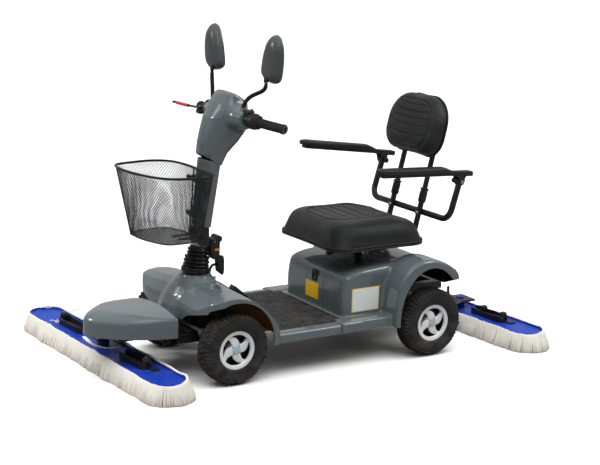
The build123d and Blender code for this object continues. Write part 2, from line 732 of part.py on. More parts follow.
# Column cover round the post, from the yoke to the head
cover_low = yoke_z + 22
cover_top = 765
with BuildPart() as column_cover:
    for wall, low, mode in ((0, cover_low, Mode.ADD), (4, cover_low + 6, Mode.SUBTRACT)):
        with BuildSketch(column_plane(low)):
            RectangleRounded(52 - 2 * wall, 74 - 2 * wall, 12 - wall)
        with BuildSketch(column_plane(cover_top)):
            RectangleRounded(58 - 2 * wall, 92 - 2 * wall, 14 - wall)
        loft(mode=mode)
    rod((column_x(cover_low - 5), 0, cover_low - 5), (column_x(cover_low + 20), 0, cover_low + 20),
            post_r + 0.2, Mode.SUBTRACT)
    for z in (580, 690):
        block((column_x(z), basket_back), (-15.3, 15.3), (z - 0.3, z + 20.3), Mode.SUBTRACT)
save(column_cover.part, "column_cover")

# Head shroud: a lofted shell, narrow at the column and full round the bar
head_sections = (
    (cover_top + 5, front_x - 68, front_x - 4, 46),
    (812, front_x - 120, front_x + 22, 58),
    (872, front_x - 166, front_x + 13, 72),
    (950, front_x - 164, front_x - 20, 74),
    (1008, front_x - 138, front_x - 68, 52),
)
key_x = front_x - 182
key_spot = (-34, 905)
key_r = 6
with BuildPart() as head:
    for wall, mode in ((0, Mode.ADD), (panel, Mode.SUBTRACT)):
        for z, x_low, x_high, half in head_sections:
            inside = z
            if wall:
                inside = z + (wall if z < 800 else -wall if z > 1000 else 0)
            with BuildSketch(level(inside)):
                with Locations(((x_low + x_high) / 2, 0)):
                    RectangleRounded(x_high - x_low - 2 * wall, 2 * half - 2 * wall, 22 - wall)
        loft(mode=mode)
    rod((column_x(750), 0, 750), (column_x(790), 0, 790), post_r + 0.2, Mode.SUBTRACT)
    for side in (1, -1):
        rod((bar_x, side * 30, bar_z), (bar_x, side * bar_bend_y, bar_z), bar_r + 0.2, Mode.SUBTRACT)
    rod((key_x + 2, *key_spot), (key_x + 37, *key_spot), key_r + seat_gap, Mode.SUBTRACT)
save(head.part, "head_shroud")

with BuildPart() as key:
    rod((key_x, *key_spot), (key_x + 30, *key_spot), key_r)
    block((key_x - 22, key_x + 2), (key_spot[0] - 1.2, key_spot[0] + 1.2), (key_spot[1] - 9, key_spot[1] + 9))
save(key.part, "ignition_key")

# Handlebar with swept-back ends, and what is clamped to it
tip = Vector(*grip_tip)
bend = Vector(bar_x, bar_bend_y, bar_z)
sweep_dir = (tip - bend).normalized()


def along_bar(distance, side):
    # Point on the swept end of the bar, measured from the bend.
    p = bend + sweep_dir * distance
    return (p.X, side * p.Y, p.Z)


bar_run = (tip - bend).length
grip_start = bar_run - 124
with BuildPart() as handlebar:
    ends = [spot(*along_bar(bar_run, -1)), spot(bar_x, -bar_bend_y, bar_z),
            spot(bar_x, bar_bend_y, bar_z), spot(*along_bar(bar_run, 1))]
    with BuildLine() as bar_path:
        FilletPolyline(*ends, radius=40)
    with BuildSketch(Plane(origin=bar_path.line @ 0, z_dir=bar_path.line % 0)):
        Circle(bar_r)
    sweep()
save(handlebar.part, "handlebar")

for name, side in (("left_grip", 1), ("throttle_grip", -1)):
    with BuildPart() as grip:
        rod(along_bar(grip_start, side), along_bar(bar_run + 6, side), grip_r - 1)
        rod(along_bar(grip_start, side), along_bar(grip_start + 7, side), grip_r + 8)
        rod(along_bar(bar_run - 6, side), along_bar(bar_run + 6, side), grip_r)
        rod(along_bar(grip_start - 1, side), along_bar(bar_run + seat_gap, side), bar_r + run_fit,
                Mode.SUBTRACT)
    save(grip.part, name)

pod = 26
lever_pivot = (front_x - 68, -142, 930)
pivot_r = 4
horn_r = 7
with BuildPart() as clamps:
    for side in (1, -1):
        rod(along_bar(pod, side), along_bar(pod + 44, side), 20)
    near = along_bar(pod + 22, -1)
    block((near[0] + 12, lever_pivot[0] + 9), (lever_pivot[1] - 8, lever_pivot[1] + 12),
            (near[2] - 10, lever_pivot[2] - 4))
    rod((*lever_pivot[:2], 900), (*lever_pivot[:2], 950), pivot_r + run_fit, Mode.SUBTRACT)
    horn = along_bar(pod + 22, 1)
    rod((horn[0] - 30, horn[1], horn[2]), (horn[0] - 12.5, horn[1], horn[2]), horn_r + 4)
    for side in (1, -1):
        rod(along_bar(pod - 10, side), along_bar(pod + 60, side), bar_r + 0.02, Mode.SUBTRACT)
    rod((horn[0] - 31, horn[1], horn[2]), (horn[0] - 15, horn[1], horn[2]), horn_r + seat_gap, Mode.SUBTRACT)
save(clamps.part, "bar_clamps")

with BuildPart() as horn_button:
    rod((horn[0] - 34, horn[1], horn[2]), (horn[0] - 20, horn[1], horn[2]), horn_r)
save(horn_button.part, "horn_button")

lever_tip = lever_pivot[0] + 20
lever_low = lever_pivot[2] - 4 + seat_gap
with BuildPart() as brake:
    rod((*lever_pivot[:2], lever_low), (*lever_pivot[:2], lever_low + 8), 9)
    rod((*lever_pivot[:2], lever_low - 12), (*lever_pivot[:2], lever_low + 4), pivot_r)
    with BuildSketch(level(lever_low)):
        with BuildLine():
            Spline(lever_pivot[:2], (lever_pivot[0] + 14, -200), (lever_tip, -300))
        trace(line_width=13)
    extrude(amount=8)
    rod((lever_tip, -306, lever_low), (lever_tip, -306, lever_low + 8), 8)
save(brake.part, "brake_lever")

# Mirrors on stalks
shell_half = (22, 56, 84)
with BuildPart() as stalks:
    for side in (1, -1):
        foot = along_bar(pod - 9, side)
        rod(along_bar(pod - 18, side), along_bar(pod - 1, side), 17)
        rod((foot[0], foot[1], foot[2] + 5), (foot[0], foot[1], foot[2] + 34), 8)
        ball = (mirror_ball[0], side * mirror_ball[1], mirror_ball[2] - 10)
        rod((foot[0], foot[1], foot[2] + 28), ball, 5)
        with Locations(spot(foot[0], foot[1], foot[2] + 30)):
            Sphere(9)
        with Locations(spot(*ball)):
            Sphere(8)
        rod(ball, (ball[0], ball[1], mirror_ball[2]), 6)
        rod(along_bar(pod - 19, side), along_bar(pod, side), bar_r + 0.02, Mode.SUBTRACT)
save(stalks.part, "mirror_stalks")

for name, side in (("left_mirror", 1), ("right_mirror", -1)):
    centre = (mirror_ball[0] - 12, side * (mirror_ball[1] + 14), mirror_ball[2] + shell_half[2] + 1)
    with BuildPart() as mirror_shell:
        with BuildSketch(across(centre[0] - shell_half[0])):
            with Locations((centre[1], centre[2])):
                Ellipse(shell_half[1], shell_half[2])
        with BuildSketch(across(centre[0])):
            with Locations((centre[1], centre[2])):
                Ellipse(shell_half[1] - 3, shell_half[2] - 4)
        with BuildSketch(across(centre[0] + shell_half[0])):
            with Locations((centre[1], centre[2] - 6)):
                Ellipse(shell_half[1] - 24, shell_half[2] - 34)
        loft()
        ball = (mirror_ball[0], side * mirror_ball[1])
        rod((*ball, mirror_ball[2] + 0.5), (*ball, mirror_ball[2] + 40), 7.5)
    save(mirror_shell.part, name)

# Basket: a D-shaped open tub hung on the tiller


def basket_outline(front, half, corner, inset):
    with Locations(((basket_back + front) / 2, 0)):
        face = Rectangle(front - basket_back - 2 * inset, 2 * half - 2 * inset)
    corners = face.vertices().sort_by(Axis.X)
    fillet(corners[2:], corner - inset)
    fillet(corners[:2], 14 - inset)


with BuildPart() as basket:
    for inset, low, mode in ((0, basket_bottom, Mode.ADD),
            (basket_wall, basket_bottom + basket_wall, Mode.SUBTRACT)):
        with BuildSketch(level(low)):
            basket_outline(basket_back + 198, 130, 105, inset)
        with BuildSketch(level(basket_rim)):
            basket_outline(basket_back + 246, 166, 130, inset)
        loft(mode=mode)
save(basket.part, "basket")

# Seat pan with its swivel post, cushion and release lever
seat_lever_pin = (seat_x + 35, 389)
seat_lever_tip = (seat_x + 168, 374)
with BuildPart() as pan:
    rod((seat_x, 0, rail_top + seat_gap), (seat_x, 0, 400), seat_post_r)
    block((seat_x - 100, seat_x + 100), (-100, 100), (396, seat_under - 9))
    block((cushion_rear + 40, cushion_front - 40), (-165, 165), (seat_under - 9, seat_under))
    for y in (28, 52):
        block((seat_lever_pin[0] - 9, seat_lever_pin[0] + 9), (y - 3, y + 3), (seat_lever_pin[1] - 9, 396))
    rod((seat_lever_pin[0], 20, seat_lever_pin[1]), (seat_lever_pin[0], 60, seat_lever_pin[1]),
            4 + run_fit, Mode.SUBTRACT)
save(pan.part, "seat_pan")

with BuildPart() as seat_lever:
    rod((seat_lever_pin[0], 24, seat_lever_pin[1]), (seat_lever_pin[0], 56, seat_lever_pin[1]), 4)
    rod((seat_lever_pin[0], 40, seat_lever_pin[1]), (seat_lever_tip[0], 44, seat_lever_tip[1]), 5)
    rod((seat_lever_tip[0] - 28, 43.2, seat_lever_tip[1] + 3.2),
            (seat_lever_tip[0] + 8, 44.2, seat_lever_tip[1] - 0.9), 8)
save(seat_lever.part, "seat_lever")

with BuildPart() as cushion:
    with BuildSketch(level(seat_under)):
        with Locations(((cushion_front + cushion_rear) / 2, 0)):
            RectangleRounded(cushion_front - cushion_rear, 2 * cushion_half, 60)
    extrude(amount=34)
    with BuildSketch(level(seat_under + 34)):
        with Locations(((cushion_front + cushion_rear) / 2, 0)):
            RectangleRounded(cushion_front - cushion_rear, 2 * cushion_half, 60)
    with BuildSketch(level(cushion_top)):
        with Locations(((cushion_front + cushion_rear) / 2 + 5, 0)):
            RectangleRounded(cushion_front - cushion_rear - 110, 2 * cushion_half - 110, 60)
    loft()
save(cushion.part, "seat_cushion")

# Back frame: two posts bent up from under the seat, and the arm tube across them
foot_z = seat_under - 9 - back_tube_r
post_foot = cushion_rear - 30
sleeve_z = 640
bore_z = 545


def post_x(z):
    return post_foot - (z - foot_z) * tan(radians(back_lean))


u_tube_r = 12
arm_eye_half = 13.5
u_z = 508
u_x = post_x(u_z) - back_tube_r - u_tube_r + 5
u_top_x = post_foot - 87
with BuildPart() as back_frame:
    for side in (1, -1):
        y = side * back_post_y
        with BuildLine() as post_path:
            FilletPolyline(spot(post_foot + 85, y, foot_z), spot(post_foot, y, foot_z),
                    spot(post_x(sleeve_z), y, sleeve_z), radius=36)
        with BuildSketch(Plane(origin=post_path.line @ 0, z_dir=post_path.line % 0)):
            Circle(back_tube_r)
        sweep(path=post_path.line)
        rod((post_x(sleeve_z - 42), y, sleeve_z - 42), (post_x(sleeve_z), y, sleeve_z), back_tube_r + 4)
    ends = [
        spot(u_top_x, -arm_half_gap, arm_hinge_z - 8),
        spot(u_x, -arm_half_gap, u_z),
        spot(u_x, arm_half_gap, u_z),
        spot(u_top_x, arm_half_gap, arm_hinge_z - 8),
    ]
    with BuildLine() as u_path:
        FilletPolyline(*ends, radius=42)
    with BuildSketch(Plane(origin=u_path.line @ 0, z_dir=u_path.line % 0)):
        Circle(u_tube_r)
    sweep(path=u_path.line)
    for side in (1, -1):
        y = side * arm_half_gap
        rod((u_top_x, y - arm_eye_half, arm_hinge_z), (u_top_x, y + arm_eye_half, arm_hinge_z), 15)
        rod((u_top_x, y - 20, arm_hinge_z), (u_top_x, y + 20, arm_hinge_z), arm_pin_r + run_fit,
                Mode.SUBTRACT)
        bore = (post_x(bore_z), side * back_post_y, bore_z)
        rod(bore, (post_x(sleeve_z + 20), side * back_post_y, sleeve_z + 20), back_rod_r + run_fit,
                Mode.SUBTRACT)
save(back_frame.part, "back_frame")

# Backrest: sliding rods with a carrier plate, and the pad
rod_low = bore_z + 34
rod_top = 800
pad_mid = 838
pad_size = (330, 236, 78)
lean = radians(back_lean)
pad_back = Plane(
    origin=spot(post_x(pad_mid) + back_tube_r + 3, 0, pad_mid), x_dir=(0, 1, 0), z_dir=(cos(lean), 0,
            sin(lean))
)
with BuildPart() as back_rods:
    for side in (1, -1):
        y = side * back_post_y
        rod((post_x(rod_low), y, rod_low), (post_x(rod_top), y, rod_top), back_rod_r)
    with BuildSketch(pad_back):
        RectangleRounded(240, 150, 20)
    extrude(amount=-6)
save(back_rods.part, "backrest_rods")

with BuildPart() as back_pad:
    with BuildSketch(pad_back):
        RectangleRounded(pad_size[0], pad_size[1], 80)
    extrude(amount=pad_size[2])
    fillet(back_pad.faces().sort_by(Axis(pad_back.origin, pad_back.z_dir))[-1].edges(), radius=26)
save(back_pad.part, "backrest_pad")

# Armrests that flip up on pins through the ends of the arm tube
pad_low = 20
arm_front = rear_x + 255
arm_rear = rear_x - 188
arm_pad_rear = rear_x - 103
arm_plate_front = arm_front - 15
arm_rise = 6
for name, side in (("armrest_left", 1), ("armrest_right", -1)):
    y = side * arm_half_gap
    with BuildPart() as armrest:
        cheek_out = arm_eye_half + 5
        rod((u_top_x, y - cheek_out, arm_hinge_z), (u_top_x, y + cheek_out, arm_hinge_z), arm_pin_r)
        for edge in (1, -1):
            plate = sorted((y + edge * (arm_eye_half + 0.5), y + edge * cheek_out))
            rod((u_top_x, plate[0], arm_hinge_z), (u_top_x, plate[1], arm_hinge_z), 13)
            block((u_top_x - 13, u_top_x + 13), plate, (arm_hinge_z, arm_hinge_z + pad_low + 4))
        slope = Plane(origin=spot(u_top_x, y, arm_hinge_z + pad_low),
                x_dir=(cos(radians(arm_rise)), 0, sin(radians(arm_rise))),
                      z_dir=(-sin(radians(arm_rise)), 0, cos(radians(arm_rise))))
        with BuildSketch(slope):
            with Locations(((arm_plate_front + arm_rear) / 2 - u_top_x, 0)):
                RectangleRounded(arm_plate_front - arm_rear, 34, 10)
        extrude(amount=5)
        with BuildSketch(slope.offset(5)):
            with Locations(((arm_front + arm_pad_rear) / 2 - u_top_x, 0)):
                RectangleRounded(arm_front - arm_pad_rear, 54, 22)
        extrude(amount=24)
    save(armrest.part, name)
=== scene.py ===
import math
import bmesh
import bpy
import numpy as np
from mathutils import Matrix, Vector


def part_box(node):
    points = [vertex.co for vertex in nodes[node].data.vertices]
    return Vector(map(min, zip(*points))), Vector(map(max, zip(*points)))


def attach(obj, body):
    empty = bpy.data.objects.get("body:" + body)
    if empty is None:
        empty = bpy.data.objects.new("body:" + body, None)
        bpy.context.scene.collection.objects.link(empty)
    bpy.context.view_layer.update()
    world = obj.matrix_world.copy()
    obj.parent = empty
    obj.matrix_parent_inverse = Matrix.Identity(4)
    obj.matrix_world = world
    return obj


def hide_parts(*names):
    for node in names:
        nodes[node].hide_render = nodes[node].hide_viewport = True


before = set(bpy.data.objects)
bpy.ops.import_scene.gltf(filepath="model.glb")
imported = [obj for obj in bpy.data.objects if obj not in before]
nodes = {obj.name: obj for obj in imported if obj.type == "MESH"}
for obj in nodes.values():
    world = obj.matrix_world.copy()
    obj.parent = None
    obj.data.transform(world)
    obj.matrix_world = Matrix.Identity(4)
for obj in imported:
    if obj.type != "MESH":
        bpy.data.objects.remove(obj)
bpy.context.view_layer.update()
print("frame loaded:", len(nodes), "nodes")

# Shapes are worked out in millimetres from mid-wheelbase:
# x forward, y to the rider's left, z up from the floor
wheelNames = ("front_left", "front_right", "rear_left", "rear_right")
tyreBoxes = [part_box(f"{wheel}_tyre") for wheel in wheelNames]
wheelMiddle = sum((low + high for low, high in tyreBoxes), Vector()) / (2 * len(tyreBoxes))
origin = np.array((wheelMiddle.x, wheelMiddle.y, 0))
tau = 2 * math.pi
# stands a slab up in x and z, thick to the right
upright = np.array(((1.0, 0, 0), (0, 0, 1.0), (0, -1.0, 0)))


def toRow(points):
    return np.asarray(points, float) / 1000 + origin


def nodeBox(name):
    return [(np.array(corner) - origin) * 1000 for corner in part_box(name)]


def unit(vector):
    vector = np.asarray(vector, float)
    return vector / np.linalg.norm(vector)


def basis(axis, side=None):  # rows: two sideways directions and the axis itself
    w = unit(axis)
    if side is None:
        side = (1, 0, 0) if abs(w[0]) < 0.9 else (0, 1, 0)
    u = unit(np.asarray(side, float) - np.dot(side, w) * w)
    return np.stack((u, np.cross(w, u), w))


def spline(points, count=40):  # natural cubic spline through the points, by chord length
    p = np.array(points, float)
    t = np.r_[0, np.cumsum(np.linalg.norm(np.diff(p, axis=0), axis=1))]
    h = np.diff(t)[:, None]
    matrix = np.eye(len(p))
    bend = np.zeros_like(p)
    for i in range(1, len(p) - 1):
        matrix[i, i - 1:i + 2] = h[i - 1, 0], 2 * (h[i - 1, 0] + h[i, 0]), h[i, 0]
        bend[i] = 6 * ((p[i + 1] - p[i]) / h[i] - (p[i] - p[i - 1]) / h[i - 1])
    m = np.linalg.solve(matrix, bend)
    s = np.linspace(0, t[-1], count)
    k = np.clip(np.searchsorted(t, s, side="right") - 1, 0, len(p) - 2)
    a, b = (t[k + 1] - s)[:, None], (s - t[k])[:, None]
    hk = h[k]
    return (m[k] * a ** 3 + m[k + 1] * b ** 3) / (6 * hk) + (p[k] / hk - m[k] * hk / 6) * a \
        + (p[k + 1] / hk - m[k + 1] * hk / 6) * b


def ringFaces(rings, sides, wrap=False, caps=True):
    faces = []
    for r in range(rings if wrap else rings - 1):
        a, b = r * sides, (r + 1) % rings * sides
        faces += [(a + i, a + (i + 1) % sides, b + (i + 1) % sides, b + i) for i in range(sides)]
    if caps and not wrap:
        faces.append(tuple(reversed(range(sides))))
        faces.append(tuple((rings - 1) * sides + i for i in range(sides)))
    return faces


def loft(sections, caps=True):  # rings of as many points each, turning left about the way they go
    sections = np.array(sections, float)
    return sections.reshape(-1, 3), ringFaces(len(sections), sections.shape[1], caps=caps)


def lathe(profile, start=(0, 0, 0), axis=(0, 0, 1), sides=32, wrap=False, side=None, caps=True):
    profile = np.array(profile, float)  # radius and height, from the foot up the outside
    angle = np.linspace(0, tau, sides, endpoint=False)
    circle = np.stack((np.cos(angle), np.sin(angle)), -1)
    local = np.concatenate([np.c_[circle * max(r, 0.01), np.full(sides, h)] for r, h in profile])
    return np.array(start) + local @ basis(axis, side), ringFaces(len(profile), sides, wrap, caps)


def sweep(path, radius, sides=12, squeeze=(1, 1), side=None):
    path = np.array(path, float)
    radii = np.broadcast_to(radius, len(path))
    run = np.gradient(path, axis=0)
    angle = np.linspace(0, tau, sides, endpoint=False)
    rings, u = [], basis(run[0], side)[0]
    for point, way, r in zip(path, run, radii):
        axes = basis(way, u)
        u = axes[0]
        rings.append(point + r * (np.outer(np.cos(angle) * squeeze[0], axes[0])
                                  + np.outer(np.sin(angle) * squeeze[1], axes[1])))
    return loft(rings)


def fromBmesh(bm):
    bm.verts.index_update()
    points = np.array([v.co[:] for v in bm.verts])
    faces = [tuple(v.index for v in f.verts) for f in bm.faces]
    bm.free()
    return points, faces


def roundBox(low, high, radius, cuts=2):
    low, high = np.array(low, float), np.array(high, float)
    bm = bmesh.new()
    bmesh.ops.create_cube(bm, size=1)
    for v in bm.verts:
        v.co = Vector((low + high) / 2 + np.array(v.co) * (high - low))
    bmesh.ops.bevel(bm, geom=bm.edges[:], offset=radius, segments=cuts, profile=0.5, affect="EDGES")
    return fromBmesh(bm)


def slab(outline, thickness, radius, cuts=2):  # a flat outline in x and y, thickened up and rounded
    bm = bmesh.new()
    face = bm.faces.new([bm.verts.new((*p, 0)) for p in outline])
    face.normal_update()
    if face.normal.z < 0:
        face.normal_flip()
    top = bmesh.ops.extrude_face_region(bm, geom=[face])
    for v in (g for g in top["geom"] if isinstance(g, bmesh.types.BMVert)):
        v.co.z += thickness
    bmesh.ops.recalc_face_normals(bm, faces=bm.faces[:])
    rims = [e for e in bm.edges if abs(e.verts[0].co.z - e.verts[1].co.z) < 1e-6]
    bmesh.ops.bevel(bm, geom=rims, offset=radius, segments=cuts, profile=0.5, affect="EDGES")
    return fromBmesh(bm)


def moved(shape, axes=None, place=(0, 0, 0)):
    points = np.asarray(shape[0], float)
    return (points @ np.asarray(axes) if axes is not None else points) + np.array(place, float), shape[1]


def slotRing(long, wide, count=96):  # round-ended outline about the origin, long in y
    straight = long - wide
    size = 2 * straight + math.pi * wide
    ring = []
    for s in np.linspace(0, size, count, endpoint=False):
        if s < straight:
            ring.append((wide / 2, s - straight / 2, 1, 0))
            continue
        s -= straight
        if s < math.pi * wide / 2:
            a = 2 * s / wide
            ring.append((wide / 2 * math.cos(a), straight / 2 + wide / 2 * math.sin(a), math.cos(a),
                         math.sin(a)))
            continue
        s -= math.pi * wide / 2
        if s < straight:
            ring.append((-wide / 2, straight / 2 - s, -1, 0))
            continue
        a = math.pi + 2 * (s - straight) / wide
        ring.append((wide / 2 * math.cos(a), -straight / 2 + wide / 2 * math.sin(a), math.cos(a),
                     math.sin(a)))
    return np.array(ring)  # place and outward direction


# Node trees: one way to add nodes, for looks and for geometry
def put(tree, kind, inputs=None, **settings):
    node = tree.nodes.new(kind)
    for key, value in settings.items():
        setattr(node, key, value)
    for socket, value in (inputs or {}).items():
        target = node.inputs[socket]
        if isinstance(value, bpy.types.NodeSocket):
            tree.links.new(value, target)
        else:
            target.default_value = value
    return node


def newMaterial(name):  # a material and its empty node tree
    material = bpy.data.materials.new(name)
    material.use_nodes = True
    material.node_tree.nodes.clear()
    return material, material.node_tree


def surface(tree, inputs):  # the shader of a material, and the output that it feeds
    shader = put(tree, "ShaderNodeBsdfPrincipled", inputs)
    put(tree, "ShaderNodeOutputMaterial", {"Surface": shader.outputs[0]})


def newGroup(name, kind, inputs, outputs):
    tree = bpy.data.node_groups.new(name, kind)
    for label, sort, value in inputs:
        socket = tree.interface.new_socket(label, in_out="INPUT", socket_type="NodeSocket" + sort)
        if value is not None:
            socket.default_value = value
    for label, sort in outputs:
        tree.interface.new_socket(label, in_out="OUTPUT", socket_type="NodeSocket" + sort)
    return tree, tree.nodes.new("NodeGroupInput").outputs


def rgb(r, g, b):  # screen colour, 0 to 255
    linear = [c / 12.92 if c <= 0.04045 else ((c + 0.055) / 1.055) ** 2.4
              for c in (r / 255, g / 255, b / 255)]
    return (*linear, 1.0)


def makeGrainGroup():  # fine surface grain with broad patches of more and less gloss
    tree, given = newGroup("fineGrain", "ShaderNodeTree", [
        ("Scale", "Float", 400.0), ("Bump", "Float", 0.1), ("Depth", "Float", 0.0005),
        ("Rough Low", "Float", 0.3), ("Rough High", "Float", 0.45)],
        [("Rough", "Float"), ("Normal", "Vector"), ("Patch", "Float")])
    spot = put(tree, "ShaderNodeTexCoord").outputs["Object"]
    fine = put(tree, "ShaderNodeTexNoise", {"Vector": spot, "Scale": given["Scale"], "Detail": 3.0})
    broad = put(tree, "ShaderNodeTexNoise", {"Vector": spot, "Scale": 7.0, "Detail": 4.0, "Roughness": 0.6})
    rough = put(tree, "ShaderNodeMapRange", {"Value": broad.outputs[0], "From Min": 0.3, "From Max": 0.7,
                                             "To Min": given["Rough Low"], "To Max": given["Rough High"]})
    bump = put(tree, "ShaderNodeBump", {"Strength": given["Bump"], "Distance": given["Depth"],
                                        "Height": fine.outputs[0]})
    put(tree, "NodeGroupOutput", {"Rough": rough.outputs[0], "Normal": bump.outputs[0],
                                  "Patch": broad.outputs[0]})
    return tree


def makeDustGroup():  # dust that thickens towards the floor, broken up by noise
    tree, given = newGroup("floorDust", "ShaderNodeTree", [
        ("Base", "Color", (0.1, 0.1, 0.1, 1)), ("Dust", "Color", (0.3, 0.27, 0.22, 1)),
        ("Amount", "Float", 0.3), ("Top", "Float", 0.25)], [("Color", "Color"), ("Mask", "Float")])
    spot = put(tree, "ShaderNodeTexCoord").outputs["Object"]
    height = put(tree, "ShaderNodeSeparateXYZ", {"Vector": spot}).outputs["Z"]
    low = put(tree, "ShaderNodeMapRange", {"Value": height, "From Min": 0.0, "From Max": given["Top"],
                                           "To Min": 1.0, "To Max": 0.15})
    broken = put(tree, "ShaderNodeTexNoise",
                 {"Vector": spot, "Scale": 26.0, "Detail": 6.0, "Roughness": 0.65})
    patch = put(tree, "ShaderNodeMapRange",
                {"Value": broken.outputs[0], "From Min": 0.38, "From Max": 0.72})
    both = put(tree, "ShaderNodeMath", {0: low.outputs[0], 1: patch.outputs[0]}, operation="MULTIPLY")
    mask = put(tree, "ShaderNodeMath", {0: both.outputs[0], 1: given["Amount"]}, operation="MULTIPLY",
               use_clamp=True)
    mix = put(tree, "ShaderNodeMix", {"Factor": mask.outputs[0], 6: given["Base"], 7: given["Dust"]},
              data_type="RGBA")
    put(tree, "NodeGroupOutput", {"Color": mix.outputs[2], "Mask": mask.outputs[0]})
    return tree


grainGroup = makeGrainGroup()
dustGroup = makeDustGroup()


def finish(name, color, rough=(0.4, 0.5), grain=(400.0, 0.1, 0.0005), dust=(0.0, 0.25), tone=None,
           **sockets):
    material, tree = newMaterial(name)
    fine = put(tree, "ShaderNodeGroup", node_tree=grainGroup)
    for label, value in zip(("Scale", "Bump", "Depth", "Rough Low", "Rough High"), (*grain, *rough)):
        fine.inputs[label].default_value = value
    other = tone or tuple(c * 0.82 for c in color[:3]) + (1,)  # the darker of the two patches of colour
    patch = put(tree, "ShaderNodeMix", {"Factor": fine.outputs["Patch"], 6: other, 7: color},
                data_type="RGBA")
    dusty = put(tree, "ShaderNodeGroup", node_tree=dustGroup)
    tree.links.new(patch.outputs[2], dusty.inputs["Base"])
    dusty.inputs["Amount"].default_value, dusty.inputs["Top"].default_value = dust
    surface(tree, {"Base Color": dusty.outputs["Color"], **sockets, "Roughness": fine.outputs["Rough"],
                   "Normal": fine.outputs["Normal"]})
    return material


# bare resin low down; higher up the inside is painted near-black as painted shade in the wells
def rawInside(name, raw, paintedShade, amberTop=0.236, shadeFrom=0.262):
    material, tree = newMaterial(name)
    spot = put(tree, "ShaderNodeTexCoord").outputs["Object"]
    height = put(tree, "ShaderNodeSeparateXYZ", {"Vector": spot}).outputs["Z"]
    share = put(tree, "ShaderNodeMapRange", {"Value": height, "From Min": amberTop, "From Max": shadeFrom})
    tone = put(tree, "ShaderNodeMix", {"Factor": share.outputs[0], 6: raw, 7: paintedShade}, data_type="RGBA")
    fibre = put(tree, "ShaderNodeTexNoise", {"Vector": spot, "Scale": 140.0, "Detail": 4.0})
    bump = put(tree, "ShaderNodeBump", {"Strength": 0.6, "Distance": 0.0012, "Height": fibre.outputs[0]})
    surface(tree, {"Base Color": tone.outputs[2], "Roughness": 0.65, "Normal": bump.outputs[0]})
    return material


# shell insides: amber resin low down, near-black painted shade higher up where the wells lie in shadow
rawShellShaded = rawInside("rawShellShaded", rgb(150, 98, 22), rgb(14, 14, 14))
panelGrey = finish("panelGrey", rgb(90, 100, 104), (0.22, 0.3), (900.0, 0.04, 0.0003), (0.12, 0.2),
                   **{"Coat Weight": 1.0, "Coat Roughness": 0.04})
frameBlack = finish("frameBlack", rgb(20, 21, 22), (0.32, 0.45), (700.0, 0.15, 0.0004), (0.25, 0.2))
plasticBlack = finish("plasticBlack", rgb(22, 23, 25), (0.35, 0.5), (1400.0, 0.25, 0.0003), (0.1, 0.2))
shellBlack = finish("shellBlack", rgb(80, 82, 83), (0.24, 0.34), (700.0, 0.08, 0.0003),
                    tone=rgb(70, 72, 73))
glossBlack = finish("glossBlack", rgb(17, 18, 20), (0.16, 0.26), (500.0, 0.06, 0.0003))
foldBlack = finish("foldBlack", rgb(13, 13, 14), (0.2, 0.32), (400.0, 0.08, 0.0004))
rubberBlack = finish("rubberBlack", rgb(28, 28, 29), (0.55, 0.75), (600.0, 0.35, 0.0005), (0.3, 0.3))
tyreRubber = finish("tyreRubber", rgb(24, 25, 24), (0.62, 0.82), (350.0, 0.4, 0.0006), (0.22, 0.24))
treadRubber = finish("treadRubber", rgb(27, 27, 26), (0.7, 0.9), (300.0, 0.5, 0.0008), (0.3, 0.28))
rimSilver = finish("rimSilver", rgb(246, 247, 248), (0.16, 0.28), (250.0, 0.08, 0.0004), (0.06, 0.2),
                   rgb(232, 234, 236), **{"Metallic": 0.12})
rimDark = finish("rimDark", rgb(18, 18, 19), (0.4, 0.6), (300.0, 0.2, 0.0004), (0.3, 0.2))
capBlue = finish("capBlue", rgb(196, 220, 236), (0.12, 0.2), (300.0, 0.05, 0.0003), **{"Metallic": 0.4})
steel = finish("steel", rgb(188, 190, 192), (0.22, 0.34), (420.0, 0.1, 0.0003), **{"Metallic": 1.0})
brass = finish("brass", rgb(176, 132, 64), (0.25, 0.4), (300.0, 0.1, 0.0003), **{"Metallic": 1.0})
castGrey = finish("castGrey", rgb(120, 122, 122), (0.45, 0.6), (260.0, 0.45, 0.0008), (0.4, 0.25),
                  **{"Metallic": 0.6})
boardBlue = finish("boardBlue", rgb(10, 58, 168), (0.28, 0.42), (500.0, 0.1, 0.0004), (0.2, 0.1),
                   rgb(8, 44, 140), **{"Specular IOR Level": 0.2})
wireBlack = finish("wireBlack", rgb(19, 19, 20), (0.3, 0.42), (900.0, 0.1, 0.0002))
mirrorGlass = finish("mirrorGlass", rgb(214, 220, 224), (0.02, 0.035), (60.0, 0.01, 0.0001),
                     **{"Metallic": 1.0})
redSleeve = finish("redSleeve", rgb(205, 38, 36), (0.35, 0.5), (500.0, 0.2, 0.0003))
lampAmber = finish("lampAmber", rgb(196, 92, 14), (0.08, 0.16), (200.0, 0.05, 0.0003), tone=rgb(120, 50, 8),
                   **{"Coat Weight": 1.0})
latchOrange = finish("latchOrange", rgb(232, 138, 40), (0.3, 0.4), (500.0, 0.1, 0.0003))
platePale = finish("platePale", rgb(236, 241, 237), (0.3, 0.45), (300.0, 0.04, 0.0003),
                   tone=rgb(224, 231, 227))
plateYellow = finish("plateYellow", rgb(236, 190, 10), (0.32, 0.45), (300.0, 0.04, 0.0003),
                     tone=rgb(224, 176, 6))
matRubber = finish("matRubber", rgb(46, 47, 48), (0.6, 0.8), (420.0, 0.5, 0.0008), (0.25, 0.3),
                   rgb(34, 35, 36))
clothWhite = finish("clothWhite", rgb(226, 226, 222), (0.85, 0.95), (900.0, 0.6, 0.0005), (0.1, 0.1),
                    **{"Sheen Weight": 0.3})
print("finishes ready")


def linked(name, data):  # a new object in the scene
    holder = bpy.data.objects.new(name, data)
    bpy.context.scene.collection.objects.link(holder)
    return holder


